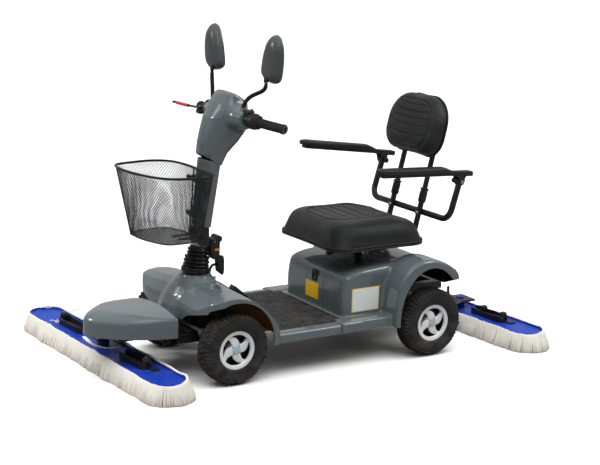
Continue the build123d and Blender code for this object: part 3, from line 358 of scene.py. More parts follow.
def addPiece(name, parts, body, replaced=(), sharp=38):  # parts: (shape, finish)
    finishes = list(dict.fromkeys(part[1] for part in parts))
    points, faces, paint = [], [], []
    for (shapePoints, shapeFaces), material in parts:
        start = sum(len(p) for p in points)
        points.append(np.asarray(shapePoints, float))
        faces += [tuple(int(start + i) for i in face) for face in shapeFaces]
        paint += [finishes.index(material)] * len(shapeFaces)
    mesh = bpy.data.meshes.new(name)
    mesh.from_pydata(toRow(np.concatenate(points)).tolist(), [], faces)
    for material in finishes:
        mesh.materials.append(material)
    mesh.polygons.foreach_set("material_index", paint)
    return settle(name, mesh, body, replaced, sharp)


# a finished mesh becomes a piece on its body
def settle(name, mesh, body, replaced=(), sharp=38):
    mesh.polygons.foreach_set("use_smooth", [True] * len(mesh.polygons))
    mesh.set_sharp_from_angle(angle=math.radians(sharp))
    mesh.update()
    piece = linked(name, mesh)
    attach(piece, body)
    if replaced:
        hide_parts(*replaced)
    return piece


def evaluated(piece):  # the piece's mesh with its modifiers worked in
    graph = bpy.context.evaluated_depsgraph_get()
    return bpy.data.meshes.new_from_object(piece.evaluated_get(graph), depsgraph=graph)


def looseMesh(name, points, edges=(), faces=(), marks=None):
    mesh = bpy.data.meshes.new(name)
    mesh.from_pydata(toRow(points).tolist(), list(edges), list(faces))
    for label, values in (marks or {}).items():
        mark = mesh.attributes.new(label, "FLOAT_VECTOR", "POINT")
        mark.data.foreach_set("vector", np.asarray(values, float).ravel())
    return linked(name, mesh)


def grown(seed, tree, values):  # runs a node tree on a seed object and keeps only the mesh that it makes
    modifier = seed.modifiers.new("nodes", "NODES")
    modifier.node_group = tree
    for item in tree.interface.items_tree:
        if item.in_out == "INPUT" and item.name in values:
            modifier[item.identifier] = values[item.name]
    mesh = evaluated(seed)
    bpy.data.objects.remove(seed)
    return mesh


def template(shape):  # a small shape in millimetres about its own origin, for a node tree to repeat
    mesh = bpy.data.meshes.new("template")
    mesh.from_pydata((np.asarray(shape[0], float) / 1000).tolist(), [],
                     [tuple(int(i) for i in f) for f in shape[1]])
    return linked("template", mesh)


def makeScatterTree():  # one small shape on every point, standing along "facing" and turned towards "along"
    tree, given = newGroup("scatterOnPoints", "GeometryNodeTree", [
        ("Geometry", "Geometry", None), ("Shape", "Object", None), ("Size", "Float", 1.0),
        ("Size Spread", "Float", 0.0), ("Seed", "Int", 1), ("Material", "Material", None)],
        [("Geometry", "Geometry")])
    facing = put(tree, "GeometryNodeInputNamedAttribute", {"Name": "facing"},
                 data_type="FLOAT_VECTOR").outputs[0]
    along = put(tree, "GeometryNodeInputNamedAttribute", {"Name": "along"},
                data_type="FLOAT_VECTOR").outputs[0]
    stand = put(tree, "FunctionNodeAlignRotationToVector", {"Vector": facing}, axis="Z").outputs[0]
    turn = put(tree, "FunctionNodeAlignRotationToVector", {"Rotation": stand, "Vector": along},
               axis="X", pivot_axis="Z").outputs[0]
    least = put(tree, "ShaderNodeMath", {0: given["Size"], 1: given["Size Spread"]},
                operation="SUBTRACT").outputs[0]
    most = put(tree, "ShaderNodeMath", {0: given["Size"], 1: given["Size Spread"]},
               operation="ADD").outputs[0]
    size = put(tree, "FunctionNodeRandomValue", {2: least, 3: most, "Seed": given["Seed"]},
               data_type="FLOAT").outputs[1]
    shape = put(tree, "GeometryNodeObjectInfo", {"Object": given["Shape"]}).outputs["Geometry"]
    copies = put(tree, "GeometryNodeInstanceOnPoints", {"Points": given["Geometry"], "Instance": shape,
                                                        "Rotation": turn, "Scale": size}).outputs[0]
    real = put(tree, "GeometryNodeRealizeInstances", {"Geometry": copies}).outputs[0]
    painted = put(tree, "GeometryNodeSetMaterial",
                  {"Geometry": real, "Material": given["Material"]}).outputs[0]
    put(tree, "NodeGroupOutput", {"Geometry": painted})
    return tree


def makeWireTree():  # a round wire along every run of edges
    tree, given = newGroup("wireOnEdges", "GeometryNodeTree", [
        ("Geometry", "Geometry", None), ("Radius", "Float", 0.001), ("Sides", "Int", 6),
        ("Material", "Material", None)], [("Geometry", "Geometry")])
    curve = put(tree, "GeometryNodeMeshToCurve", {"Mesh": given["Geometry"]}).outputs[0]
    ring = put(tree, "GeometryNodeCurvePrimitiveCircle",
               {"Resolution": given["Sides"], "Radius": given["Radius"]})
    wire = put(tree, "GeometryNodeCurveToMesh",
               {"Curve": curve, "Profile Curve": ring.outputs[0], "Fill Caps": True})
    real = put(tree, "GeometryNodeRealizeInstances", {"Geometry": wire.outputs[0]}).outputs[0]
    painted = put(tree, "GeometryNodeSetMaterial",
                  {"Geometry": real, "Material": given["Material"]}).outputs[0]
    put(tree, "NodeGroupOutput", {"Geometry": painted})
    return tree


scatterTree = makeScatterTree()
wireTree = makeWireTree()


def scatter(name, shape, spots, facing, along, material, body, spread=0.0, seed=1, replaced=(),
            sharp=38):
    holder = template(shape)
    points = looseMesh(name + "_seed", spots, marks={"facing": facing, "along": along})
    mesh = grown(points, scatterTree, {"Shape": holder, "Size": 1.0, "Size Spread": spread, "Seed": seed,
                                       "Material": material})
    bpy.data.objects.remove(holder)
    return settle(name, mesh, body, replaced, sharp)


def wires(name, runs, radius, material, body, sides=6, closed=False, replaced=()):
    points, edges = [], []
    for run in runs:
        start = len(points)
        points += list(run)
        edges += [(start + i, start + i + 1) for i in range(len(run) - 1)]
        if closed:
            edges.append((start + len(run) - 1, start))
    seed = looseMesh(name + "_seed", points, edges)
    mesh = grown(seed, wireTree, {"Radius": radius / 1000, "Sides": sides, "Material": material})
    return settle(name, mesh, body, replaced, 60)


def screwHead(radius, height):  # button head with a six-sided socket
    rim = [(radius, 0), (radius, height * 0.3), (radius * 0.85, height * 0.75), (radius * 0.55, height)]
    socket = [(radius * 0.45, height), (radius * 0.4, height * 0.4)]
    return lathe(rim + socket, sides=12)


def screws(name, spots, facing, radius, height, material, body):
    facing = np.broadcast_to(np.asarray(facing, float), (len(spots), 3))
    along = [basis(f)[0] for f in facing]
    return scatter(name, screwHead(radius, height), spots, facing, along, material, body)


# Surfaces drawn from distance fields: negative inside, positive outside, in millimetres
def smoothMin(a, b, k):
    h = np.clip(0.5 + 0.5 * (b - a) / k, 0, 1)
    return b + (a - b) * h - k * h * (1 - h)


def smoothMax(a, b, k):
    return -smoothMin(-a, -b, k)


def profileField(outline, step=2.0, margin=60):  # distance to a closed flat outline, read off a fine grid
    line = np.array(outline, float)
    low, high = line.min(0) - margin, line.max(0) + margin
    us, vs = (np.arange(low[i], high[i] + step, step) for i in (0, 1))
    spot = np.stack(np.meshgrid(us, vs, indexing="ij"), -1)
    nearest = np.full(spot.shape[:2], np.inf)
    inside = np.zeros(spot.shape[:2], bool)
    for a, b in zip(line, np.roll(line, -1, axis=0)):
        way = b - a
        along = np.clip(((spot - a) @ way) / max(way @ way, 1e-9), 0, 1)
        nearest = np.minimum(nearest, np.linalg.norm(spot - a - along[..., None] * way, axis=-1))
        crosses = (a[1] > spot[..., 1]) != (b[1] > spot[..., 1])
        rise = way[1] if abs(way[1]) > 1e-9 else 1e-9
        inside ^= crosses & (spot[..., 0] < (spot[..., 1] - a[1]) / rise * way[0] + a[0])
    table = np.where(inside, -nearest, nearest)

    def field(u, v):
        i = np.clip((u - low[0]) / step, 0, len(us) - 1.001)
        j = np.clip((v - low[1]) / step, 0, len(vs) - 1.001)
        i0, j0 = i.astype(int), j.astype(int)
        f, g = i - i0, j - j0
        return (table[i0, j0] * (1 - f) * (1 - g) + table[i0 + 1, j0] * f * (1 - g)
                + table[i0, j0 + 1] * (1 - f) * g + table[i0 + 1, j0 + 1] * f * g)
    return field


def onto(points, *fields, rounds=5):  # draws points onto the zero of each field in turn
    reach = 0.4
    for _ in range(rounds):
        for field in fields:
            value = field(points)
            steps = np.eye(3) * reach
            slope = np.stack([field(points + d) - field(points - d) for d in steps], -1) / (2 * reach)
            points = points - (value / np.maximum((slope ** 2).sum(-1), 0.05))[:, None] * slope
    return points


# one point in each cell that the surface crosses, joined by four-sided faces
def skinOf(field, low, high, step):
    low = np.array(low, float)
    counts = np.ceil((np.array(high) - low) / step).astype(int) + 1
    ticks = [low[i] + step * np.arange(counts[i]) for i in range(3)]
    grid = np.stack(np.meshgrid(*ticks, indexing="ij"), -1)
    inside = (field(grid.reshape(-1, 3)) < 0).reshape(counts)
    corners = [inside[i:counts[0] - 1 + i, j:counts[1] - 1 + j, k:counts[2] - 1 + k]
               for i in (0, 1) for j in (0, 1) for k in (0, 1)]
    filled = np.sum(corners, axis=0)
    crossed = (filled > 0) & (filled < 8)
    number = np.full(crossed.shape, -1)
    number[crossed] = np.arange(crossed.sum())
    points = np.argwhere(crossed) * step + low + step / 2
    faces = []
    for axis in range(3):
        a, b = (axis + 1) % 3, (axis + 2) % 3
        near = inside.take(range(counts[axis] - 1), axis)
        far = inside.take(range(1, counts[axis]), axis)
        edge = np.argwhere(near != far)
        clear = ((edge[:, a] > 0) & (edge[:, b] > 0)
                 & (edge[:, a] < counts[a] - 1) & (edge[:, b] < counts[b] - 1))
        edge = edge[clear]
        quad = []
        for da, db in ((-1, -1), (0, -1), (0, 0), (-1, 0)):
            cell = edge.copy()
            cell[:, a] += da
            cell[:, b] += db
            quad.append(number[tuple(cell.T)])
        quad = np.stack(quad, 1)
        turned = ~near[tuple(edge.T)]
        quad[turned] = quad[turned][:, ::-1]
        faces.append(quad)
    return onto(points, field), np.concatenate(faces)


def trimmed(shape, field, keep):  # cuts the skin where the keep field goes below zero, with a clean edge
    points, faces = shape
    value = keep(points)
    extra, known, kept = [], {}, []

    def crossing(a, b):
        key = (min(a, b), max(a, b))
        if key not in known:
            t = value[a] / (value[a] - value[b])
            known[key] = len(points) + len(extra)
            extra.append(points[a] + t * (points[b] - points[a]))
        return known[key]
    above = value[faces] > 0
    kept += [tuple(f) for f in faces[above.all(1)]]
    for face in faces[above.any(1) & ~above.all(1)]:
        ring = []
        for a, b in zip(face, np.roll(face, -1)):
            if value[a] > 0:
                ring.append(a)
            if (value[a] > 0) != (value[b] > 0):
                ring.append(crossing(a, b))
        if len(ring) > 2:
            kept.append(tuple(ring))
    if extra:
        points = np.concatenate((points, onto(np.array(extra), field, keep, rounds=3)))
    return points, kept


weldGap = 0.5  # points of a panel nearer than this become one


# a panel: drawn, cut and given its wall
def shellPiece(name, look, field, keep, inside, body, node, sharp=32):
    points, faces = trimmed(skinOf(field, look["low"], look["high"], look["step"]), field, keep)
    bm = bmesh.new()
    verts = [bm.verts.new(p) for p in toRow(points)]
    for face in faces:
        bm.faces.new([verts[i] for i in face])
    bmesh.ops.delete(bm, geom=[v for v in bm.verts if not v.link_faces], context="VERTS")
    bmesh.ops.remove_doubles(bm, verts=bm.verts[:], dist=weldGap / 1000)
    mesh = bpy.data.meshes.new(name)
    bm.to_mesh(mesh)
    bm.free()
    for material in (panelGrey, inside):
        mesh.materials.append(material)
    holder = linked(name + "_skin", mesh)
    solid = holder.modifiers.new("wall", "SOLIDIFY")
    solid.thickness = look["wall"] / 1000
    solid.offset = -1
    solid.use_even_offset = False
    solid.material_offset = 1
    solid.material_offset_rim = 0
    mesh = evaluated(holder)
    bpy.data.objects.remove(holder)
    return settle(name, mesh, body, (node,), sharp)


# Floor, light and camera
stageLook = {"floorSize": 60.0, "floorTone": rgb(250, 250, 250), "bounceTone": rgb(128, 128, 128),
             "skyTop": 0.85, "skyLow": 0.08, "backdrop": (-0.42, -0.91, 0.0), "skyPower": 0.45,
             "overhead": (3.7, math.radians(70)), "overheadTilt": (-0.08, 0.1, 0)}
cameraLook = {"position": (2961.224, 4666.862, 1736.314), "yaw": 4.1478671, "pitch": -0.2274658,
              "roll": 0.0313156, "focal": 1500.231, "centre": (296.627, 232.203), "frame": (600, 465),
              "sensor": 36.0}


def makeFloorPaint():  # white to look at, and greyer in the light that it throws back
    material, tree = newMaterial("floorPale")
    seen = put(tree, "ShaderNodeLightPath").outputs["Is Camera Ray"]
    tone = put(tree, "ShaderNodeMix", {"Factor": seen, 6: stageLook["bounceTone"],
                                       7: stageLook["floorTone"]}, data_type="RGBA")
    surface(tree, {"Base Color": tone.outputs[2], "Roughness": 0.6})
    return material


def makeStage():
    size = stageLook["floorSize"] / 2
    mesh = bpy.data.meshes.new("floor")
    mesh.from_pydata([(-size, -size, 0), (size, -size, 0), (size, size, 0), (-size, size, 0)], [],
                     [(0, 1, 2, 3)])
    floor = linked("floor", mesh)
    mesh.materials.append(makeFloorPaint())
    world = bpy.data.worlds.new("studio")
    world.use_nodes = True
    tree = world.node_tree
    tree.nodes.clear()
    spot = put(tree, "ShaderNodeTexCoord").outputs["Generated"]
    height = put(tree, "ShaderNodeSeparateXYZ", {"Vector": spot}).outputs["Z"]
    ramp = put(tree, "ShaderNodeMapRange", {"Value": height, "From Min": -0.1, "From Max": 0.7,
                                            "To Min": stageLook["skyLow"], "To Max": stageLook["skyTop"]})
    behind = put(tree, "ShaderNodeVectorMath", {0: spot, 1: stageLook["backdrop"]}, operation="DOT_PRODUCT")
    glow = put(tree, "ShaderNodeMapRange",
               {"Value": behind.outputs["Value"], "From Min": 0.3, "From Max": 0.95, "To Max": 0.6})
    sky = put(tree, "ShaderNodeMath", {0: ramp.outputs[0], 1: glow.outputs[0]}, operation="ADD")
    shade = put(tree, "ShaderNodeBackground", {"Color": sky.outputs[0], "Strength": stageLook["skyPower"]})
    plain = put(tree, "ShaderNodeBackground", {"Color": stageLook["floorTone"], "Strength": 1.0})
    seen = put(tree, "ShaderNodeLightPath").outputs["Is Camera Ray"]
    mixed = put(tree, "ShaderNodeMixShader", {0: seen, 1: shade.outputs[0], 2: plain.outputs[0]})
    put(tree, "ShaderNodeOutputWorld", {"Surface": mixed.outputs[0]})
    bpy.context.scene.world = world
    softboxes = (  # name, place in metres, aim, size, power
        ("keyLight", (1.2, 3.2, 4.2), (0.0, 0.1, 0.4), 3.2, 26.0),
        ("frontLight", (4.2, -1.4, 3.0), (0.2, 0.1, 0.5), 0.55, 40.0),
        ("rearLight", (-2.7, 1.9, 3.5), (-0.2, 0.1, 0.5), 1.8, 38.0),
    )
    overhead = bpy.data.lights.new("overhead", "SUN")
    overhead.energy, overhead.angle = stageLook["overhead"]
    holder = linked("overhead", overhead)
    holder.rotation_euler = stageLook["overheadTilt"]
    holder.visible_glossy = False
    for name, place, aim, width, power in softboxes:
        lamp = bpy.data.lights.new(name, "AREA")
        lamp.shape = "DISK"
        lamp.size = width
        lamp.energy = power
        holder = linked(name, lamp)
        holder.location = place
        holder.rotation_euler = (Vector(aim) - Vector(place)).to_track_quat("-Z", "Y").to_euler()


def makeCamera():
    look = cameraLook
    yaw, pitch, roll = look["yaw"], look["pitch"], look["roll"]
    ahead = np.array((math.cos(pitch) * math.cos(yaw), math.cos(pitch) * math.sin(yaw), math.sin(pitch)))
    right = np.array((math.sin(yaw), -math.cos(yaw), 0))
    up = np.cross(right, ahead)
    tiltedRight = right * math.cos(roll) + up * math.sin(roll)
    tiltedUp = up * math.cos(roll) - right * math.sin(roll)
    lens = bpy.data.cameras.new("camera")
    lens.sensor_width = look["sensor"]
    lens.lens = look["sensor"] * look["focal"] / look["frame"][0]
    lens.shift_x = (look["frame"][0] / 2 - look["centre"][0]) / look["frame"][0]
    lens.shift_y = (look["centre"][1] - look["frame"][1] / 2) / look["frame"][0]
    lens.clip_end = 200
    camera = linked("camera", lens)
    place = toRow(look["position"])
    rows = zip(np.stack((tiltedRight, tiltedUp, -ahead), 1), place)
    camera.matrix_world = Matrix([(*row, p) for row, p in rows] + [(0, 0, 0, 1)])
    bpy.context.scene.camera = camera


makeStage()
makeCamera()
bpy.context.scene.view_settings.view_transform = "Standard"
print("stage and camera ready")

# Wheels: tyre with raised tread blocks, cast rim with four swept spokes
wheel = {"treadBase": 125.4, "blockHeight": 4.4, "sidewall": 42.5, "bead": 71.0, "shoulderLugs": 54,
         "middleBlocks": 40, "ring": 74.0, "ringIn": 56.0, "ringFace": 33.0, "hub": 25.0, "hubFace": 25.0,
         "spokes": 4, "cap": 15.5, "lugRow": (31.5, 119.6, 38), "blockRow": (9.5, 1.2, 24),
         "lug": (4.1, 10, 1.0), "block": (7.6, 6.6, 1.2), "bolts": (4, 18.6, 52), "spokeThick": 13,
         "spokeTurn": 0.12, "dish": (16, 0.05)}


def tyreProfile():
    half = [(wheel["bead"], 33), (wheel["bead"] + 3, 37), (80, 40), (94, wheel["sidewall"]), (109, 41.2),
            (118, 36.5), (123, 30), (wheel["treadBase"], 22), (wheel["treadBase"] + 0.8, 0)]
    side = spline(half, 26)
    other = side[::-1][1:] * (1, -1)
    return np.concatenate((side, other))[::-1]


def spokeOutline():  # from the hub to the ring, swept the way it turns
    lead = spline([polarPoint(r, a) for r, a in ((19, -46), (33, -24), (48, 4), (63, 27))], 12)
    trail = spline([polarPoint(r, a) for r, a in ((63, 39), (52, 33), (38, 30), (27, 36), (19, 48))], 12)
    return np.concatenate((lead, trail))


def polarPoint(radius, degrees):
    return radius * math.cos(math.radians(degrees)), radius * math.sin(math.radians(degrees))


def makeWheel(name):
    low, high = nodeBox(f"{name}_tyre")
    centre = (low + high) / 2
    side = 1 if centre[1] > 0 else -1
    body = f"{name}_wheel"
    axes = np.array(((-side, 0, 0), (0, 0, 1), (0, side, 0)))  # right, up and out, as seen from outside

    def onAxle(shape):
        return moved(shape, axes, centre)
    carcass = lathe(tyreProfile(), sides=96, wrap=True)
    addPiece(f"{name}_tyre_carcass", [(onAxle(carcass), tyreRubber)], body, (f"{name}_tyre",),
             50)
    spots, facing, along = [], [], []
    off, radius, slant = wheel["lugRow"]
    rows = [(s * off, radius, s * slant, wheel["shoulderLugs"], 0 if s > 0 else 0.5, 0) for s in (1, -1)]
    off, sunk, skew = wheel["blockRow"]
    radius = wheel["treadBase"] - sunk
    rows += [(s * off, radius, 0, wheel["middleBlocks"], 0.25 + 0.25 * s, s * skew) for s in (1, -1)]
    for out, radius, lean, count, phase, twist in rows:
        for k in range(count):
            a = tau * (k + phase) / count
            radial = np.array((math.cos(a), math.sin(a), 0))
            tangent = np.array((-math.sin(a), math.cos(a), 0))
            axle = np.array((0, 0, 1.0))
            face = radial * math.cos(math.radians(lean)) + axle * math.sin(math.radians(lean))
            spots.append(radial * radius + axle * out)
            facing.append(face)
            along.append(tangent * math.cos(math.radians(twist)) + axle * math.sin(math.radians(twist)))
    split = 2 * wheel["shoulderLugs"]
    spots, facing, along = (np.array(v) @ axes for v in (spots, facing, along))
    for label, extra, part in (("lug", 0, slice(0, split)), ("block", 1, slice(split, None))):
        wide, long, edge = wheel[label]
        shape = roundBox((-wide, -long, -2), (wide, long, wheel["blockHeight"] + extra), edge, 1)
        scatter(f"{name}_tread_{label}s", shape, spots[part] + centre, facing[part], along[part],
                treadRubber, body)
    face, ring, inner = wheel["ringFace"], wheel["ring"], wheel["ringIn"]
    lip = [(inner, face - 9), (inner + 1, face - 2), (inner + 4, face), (ring - 4, face),
           (ring - 0.6, face - 2.5), (ring, face - 6), (ring - 3, face - 8), (ring - 5, face - 12)]
    barrel = [(ring - 4.2, face - 11), (ring - 4.2, -30), (ring, -33), (ring, -36), (ring - 7, -36),
              (ring - 9, face - 14)]
    hub = [(0, -27), (wheel["hub"], -27), (wheel["hub"], wheel["hubFace"] - 4),
           (wheel["hub"] - 3, wheel["hubFace"]), (0, wheel["hubFace"])]
    cap = wheel["cap"]
    button = [(cap, wheel["hubFace"] - 1), (cap, wheel["hubFace"] + 3), (cap - 2, wheel["hubFace"] + 6),
              (0, wheel["hubFace"] + 7)]
    parts = [(onAxle(lathe(lip[::-1], sides=64, wrap=True)), rimSilver),
             (onAxle(lathe(barrel[::-1], sides=64, wrap=True)), rimDark),
             (onAxle(lathe(hub, sides=32)), rimSilver), (onAxle(lathe(button, sides=32)), capBlue)]
    back = [(20, -12), (ring - 8, -12), (ring - 8, -8), (20, -8)]
    parts.append((onAxle(lathe(back, sides=48)), rimDark))
    spoke = slab(spokeOutline(), wheel["spokeThick"], 2.6, 3)
    for k in range(wheel["spokes"]):
        a = tau * k / wheel["spokes"] + wheel["spokeTurn"]
        turn = np.array(((math.cos(a), math.sin(a), 0), (-math.sin(a), math.cos(a), 0), (0, 0, 1)))
        radius = np.linalg.norm(spoke[0][:, :2], axis=1)
        lift, fall = wheel["dish"]
        dish = np.c_[spoke[0][:, :2], spoke[0][:, 2] + lift - radius * fall]
        parts.append((onAxle(moved((dish, spoke[1]), turn)), rimSilver))
    addPiece(f"{name}_rim_cast", parts, body, (f"{name}_rim",), 34)
    count, reach, first = wheel["bolts"]
    places = [polarPoint(reach, 360 * k / count + first) for k in range(count)]
    bolts = [np.array((*place, wheel["hubFace"] - 0.5)) @ axes + centre for place in places]
    screws(f"{name}_rim_bolts", bolts, axes[2], 3.4, 3.2, brass, body)


for wheelName in wheelNames:
    makeWheel(wheelName)
print("wheels ready")


# Body panels: moulded shells with raw insides, painted near-black as shade higher up
def taperedRod(points, a, b, radiusA, radiusB):
    a, way = np.array(a, float), np.array(b, float) - np.array(a, float)
    t = np.clip((points - a) @ way / (way @ way), 0, 1)
    return np.linalg.norm(points - a - t[..., None] * way, axis=-1) - (radiusA + (radiusB - radiusA) * t)


def boxField(points, low, high):
    low, high = np.array(low, float), np.array(high, float)
    out = np.abs(points - (low + high) / 2) - (high - low) / 2
    return np.linalg.norm(np.maximum(out, 0), axis=-1) + np.minimum(out.max(-1), 0)


nose = {"rear": 597.0, "reach": 280.0, "half": 182.0, "power": 1.6, "foot": 171.0, "wallTop": 216.0,
        "shoulder": 44.0, "inset": (34.0, 84.0), "insetFrom": (650.0, 800.0), "top": 256.5, "rise": 0.012,
        "crown": 0.0007, "crownAt": 22.0, "screw": (633, 177.4, 197), "step": 4.5, "wall": 4.0,
        "low": (580, -200, 150), "high": (900, 200, 290), "blends": (4, 6)}


def makeNose():  # an upright wall, a round shoulder that widens to the front and a low raised top
    turn = np.linspace(-math.pi / 2, math.pi / 2, 91)
    bend = 2 / nose["power"]
    front = np.stack((nose["rear"] + nose["reach"] * np.cos(turn).clip(0) ** bend,
                      nose["half"] * np.sign(turn) * np.abs(np.sin(turn)) ** bend), -1)
    behind = nose["rear"] - 120
    plan = profileField(np.concatenate((front, [(behind, nose["half"]), (behind, -nose["half"])])),
                        margin=60)

    def field(p):
        x, y, z = p.T
        climb = np.clip((z - nose["wallTop"]) / nose["shoulder"], 0, 0.985)
        inset, level = np.interp(x, nose["insetFrom"], nose["inset"]), np.sqrt(1 - climb ** 2)
        side = (plan(x, y) + inset * (1 - level)) / np.hypot(1, inset * climb / (level * nose["shoulder"]))
        top = nose["top"] + nose["rise"] * (x - nose["rear"]) - nose["crown"] * (y - nose["crownAt"]) ** 2
        topBlend, rearBlend = nose["blends"]
        return smoothMax(smoothMax(side, z - top, topBlend), nose["rear"] - x, rearBlend)

    def keep(p):
        return p[:, 2] - nose["foot"]
    shellPiece("nose_shell", nose, field, keep, rawShellShaded, "chassis", "nose_cover")
    x, y, z = nose["screw"]
    screws("nose_screws", [(x, y, z), (x, -y, z)], [(0.08, 1, 0), (0.08, -1, 0)], 3.2, 2.4, steel,
           "chassis")


cover = {"low": (232, -310, 110), "high": (592, 310, 366), "step": 4.5, "wall": 4.0, "outer": 295.0,
         "front": 548.0, "sweep": (0.0031, 0.0021), "sweepFrom": 150, "fall": (5.0, 24.0),
         "arch": (424, 151, 153), "archFrom": (250, 279), "foot": 165, "skirt": 131, "hole": 37,
         "fallFrom": (60, 235), "fallUp": (200, 100), "faceFrom": 470, "skirtFrom": 250, "holeFrom": 320,
         "blends": (5, 6, 9), "collar": (343, 57, (-62, -8, 28, 64, 150, 210)), "lugs": (-95, -61),
         "lean": math.tan(math.radians(7)), "axisFoot": (461.5, 165)}
coverArc = ((245, 165), (249, 184), (262, 212), (281, 238), (300, 259), (322, 281), (349, 302), (375, 315),
            (405, 323), (440, 326), (482, 322))
coverFace = ((511, 305), (538, 270), (552, 225), (552, 100), (245, 100))
domeLine = ((0, 120), (119, 120), (119, 214), (114, 250), (102, 285), (85, 314), (66, 336), (57.5, 343),
            (56, 350), (0, 350))
# the front's lower edge from side to side
underEdge = ((-295, -200, -103, 103, 144, 295), (240, 232, 208, 211, 238, 274))


def rounded(line, count=90):  # a spline through a profile, its first and last corner left sharp
    return np.concatenate((line[:1], spline(line[1:-1], count), line[-1:]))


def coverSlope():  # the rear slope and the top, before the creases of the front
    return spline(coverArc, 70)[:, :2]


def axisAt(z):  # where the steering axis stands at a height
    return cover["axisFoot"][0] - (z - cover["axisFoot"][1]) * cover["lean"]


def makeFrontCover():
    top = profileField(np.concatenate((coverSlope(), coverFace)), margin=80)
    dome = profileField(domeLine, 1.0)

    def field(p):
        x, y, z = p[:, 0], np.abs(p[:, 1]), p[:, 2]
        left = p[:, 1] > 0
        swept = np.maximum(y - cover["sweepFrom"], 0) ** 2
        front = x - cover["front"] + np.where(left, *cover["sweep"]) * swept
        most = np.where(left, *cover["fall"])
        ramps = (("fallFrom", y), ("fallUp", z))
        out, up = (np.clip((v - cover[k][0]) / cover[k][1], 0, 1) for k, v in ramps)
        edgeBlend, frontBlend, domeBlend = cover["blends"]
        body = smoothMax(top(x, z + most * out ** 1.2 * up), y - cover["outer"], edgeBlend)
        body = smoothMax(body, front, frontBlend)
        return smoothMin(body, dome(np.hypot(x - axisAt(z), y), z), domeBlend)

    def keep(p):
        x, y, z = p[:, 0], np.abs(p[:, 1]), p[:, 2]
        archX, archZ, archRadius = cover["arch"]
        arch = np.maximum(np.hypot(x - archX, z - archZ) - archRadius,
                          np.where(p[:, 1] > 0, *cover["archFrom"]) - y)
        face = np.maximum(z - np.interp(p[:, 1], *underEdge), cover["faceFrom"] - x)
        skirt = np.maximum.reduce((z - cover["skirt"], cover["skirtFrom"] - y, x - cover["faceFrom"]))
        foot = np.maximum.reduce((z - cover["foot"], y - cover["skirtFrom"], x - cover["faceFrom"]))
        hole = np.maximum(np.hypot(x - axisAt(z), y) - cover["hole"], cover["holeFrom"] - z)
        return np.minimum.reduce((arch, face, skirt, foot, hole))
    shellPiece("front_cover_shell", cover, field, keep, rawShellShaded, "chassis", "front_cover")
    level, reach, turns = cover["collar"]
    spots = [(axisAt(level) + reach * math.cos(a), reach * math.sin(a), level) for a in np.radians(turns)]
    facing = [unit((x - axisAt(level), y, 12)) for x, y, _ in spots]
    screws("collar_screws", spots, facing, 3.2, 2.4, steel, "chassis")
    lugs = [roundBox((318, y - 3, 262), (342, y + 3, 308), 3, 2) for y in cover["lugs"]]
    pan = roundBox((332, -104, 158.4), (398, 104, 161.4), 1.2, 1)
    addPiece("pedal_lugs", [(lug, panelGrey) for lug in lugs], "chassis")
    addPiece("splash_pan", [(pan, frameBlack)], "chassis")


pedal = {"plate": ((285, 287), (294, 276), (240, 232), (230, 241)), "plateY": (-6, 36), "pin": (330, 300),
         "pinY": (-99, -57), "crank": ((268, 16, 261), (280, 15, 264), (287, 0, 267), (293, -40, 272.5),
                                       (298, -70, 277), (313, -78, 286.5), (330, -78, 300))}


def makePedal():  # a tread plate on a cranked rod that hangs from a pin between the lugs
    low, high = pedal["plateY"]
    plate = moved(slab(pedal["plate"], high - low, 3, 2), upright, (0, high, 0))
    x, z = pedal["pin"]
    pin = sweep([(x, y, z) for y in pedal["pinY"]], 4.6, 14)
    crank = sweep(spline(pedal["crank"], 40), 3.5, 12)
    addPiece("pedal_tread", [(plate, frameBlack), (crank, frameBlack), (pin, steel)], "pedal",
             ("foot_pedal",))


makeNose()
makeFrontCover()
makePedal()
print("nose and front cover ready")

deck = {"x": (-24.4, 244.4), "half": 285.0, "top": 165.0, "foot": 131.0, "round": 13.0, "wall": 4.0}
mat = {"half": 239.0, "rear": -47.0, "front": 244.0, "low": 0.3, "thick": 3.2, "slopeEnd": 276.0,
       "strokes": 2600, "seed": 7, "toothGap": 13.0}


def makeFootboard():
    turn = np.radians(np.linspace(0, 90, 7))
    r, half, top = deck["round"], deck["half"], deck["top"]
    right = [(half, deck["foot"])] + [(half - r + r * math.cos(a), top - r + r * math.sin(a)) for a in turn]
    outer = np.array(right + [(-y, z) for y, z in right[::-1]])
    inner = np.array([(y - math.copysign(deck["wall"], y), z - (0 if z == deck["foot"] else deck["wall"]))
                      for y, z in outer])
    ring = np.concatenate((outer, inner[::-1]))
    sections = [np.c_[np.full(len(ring), x), ring] for x in deck["x"]]
    addPiece("footboard_shell", [(loft(sections), panelGrey)], "chassis", ("footboard_panel",),
             50)


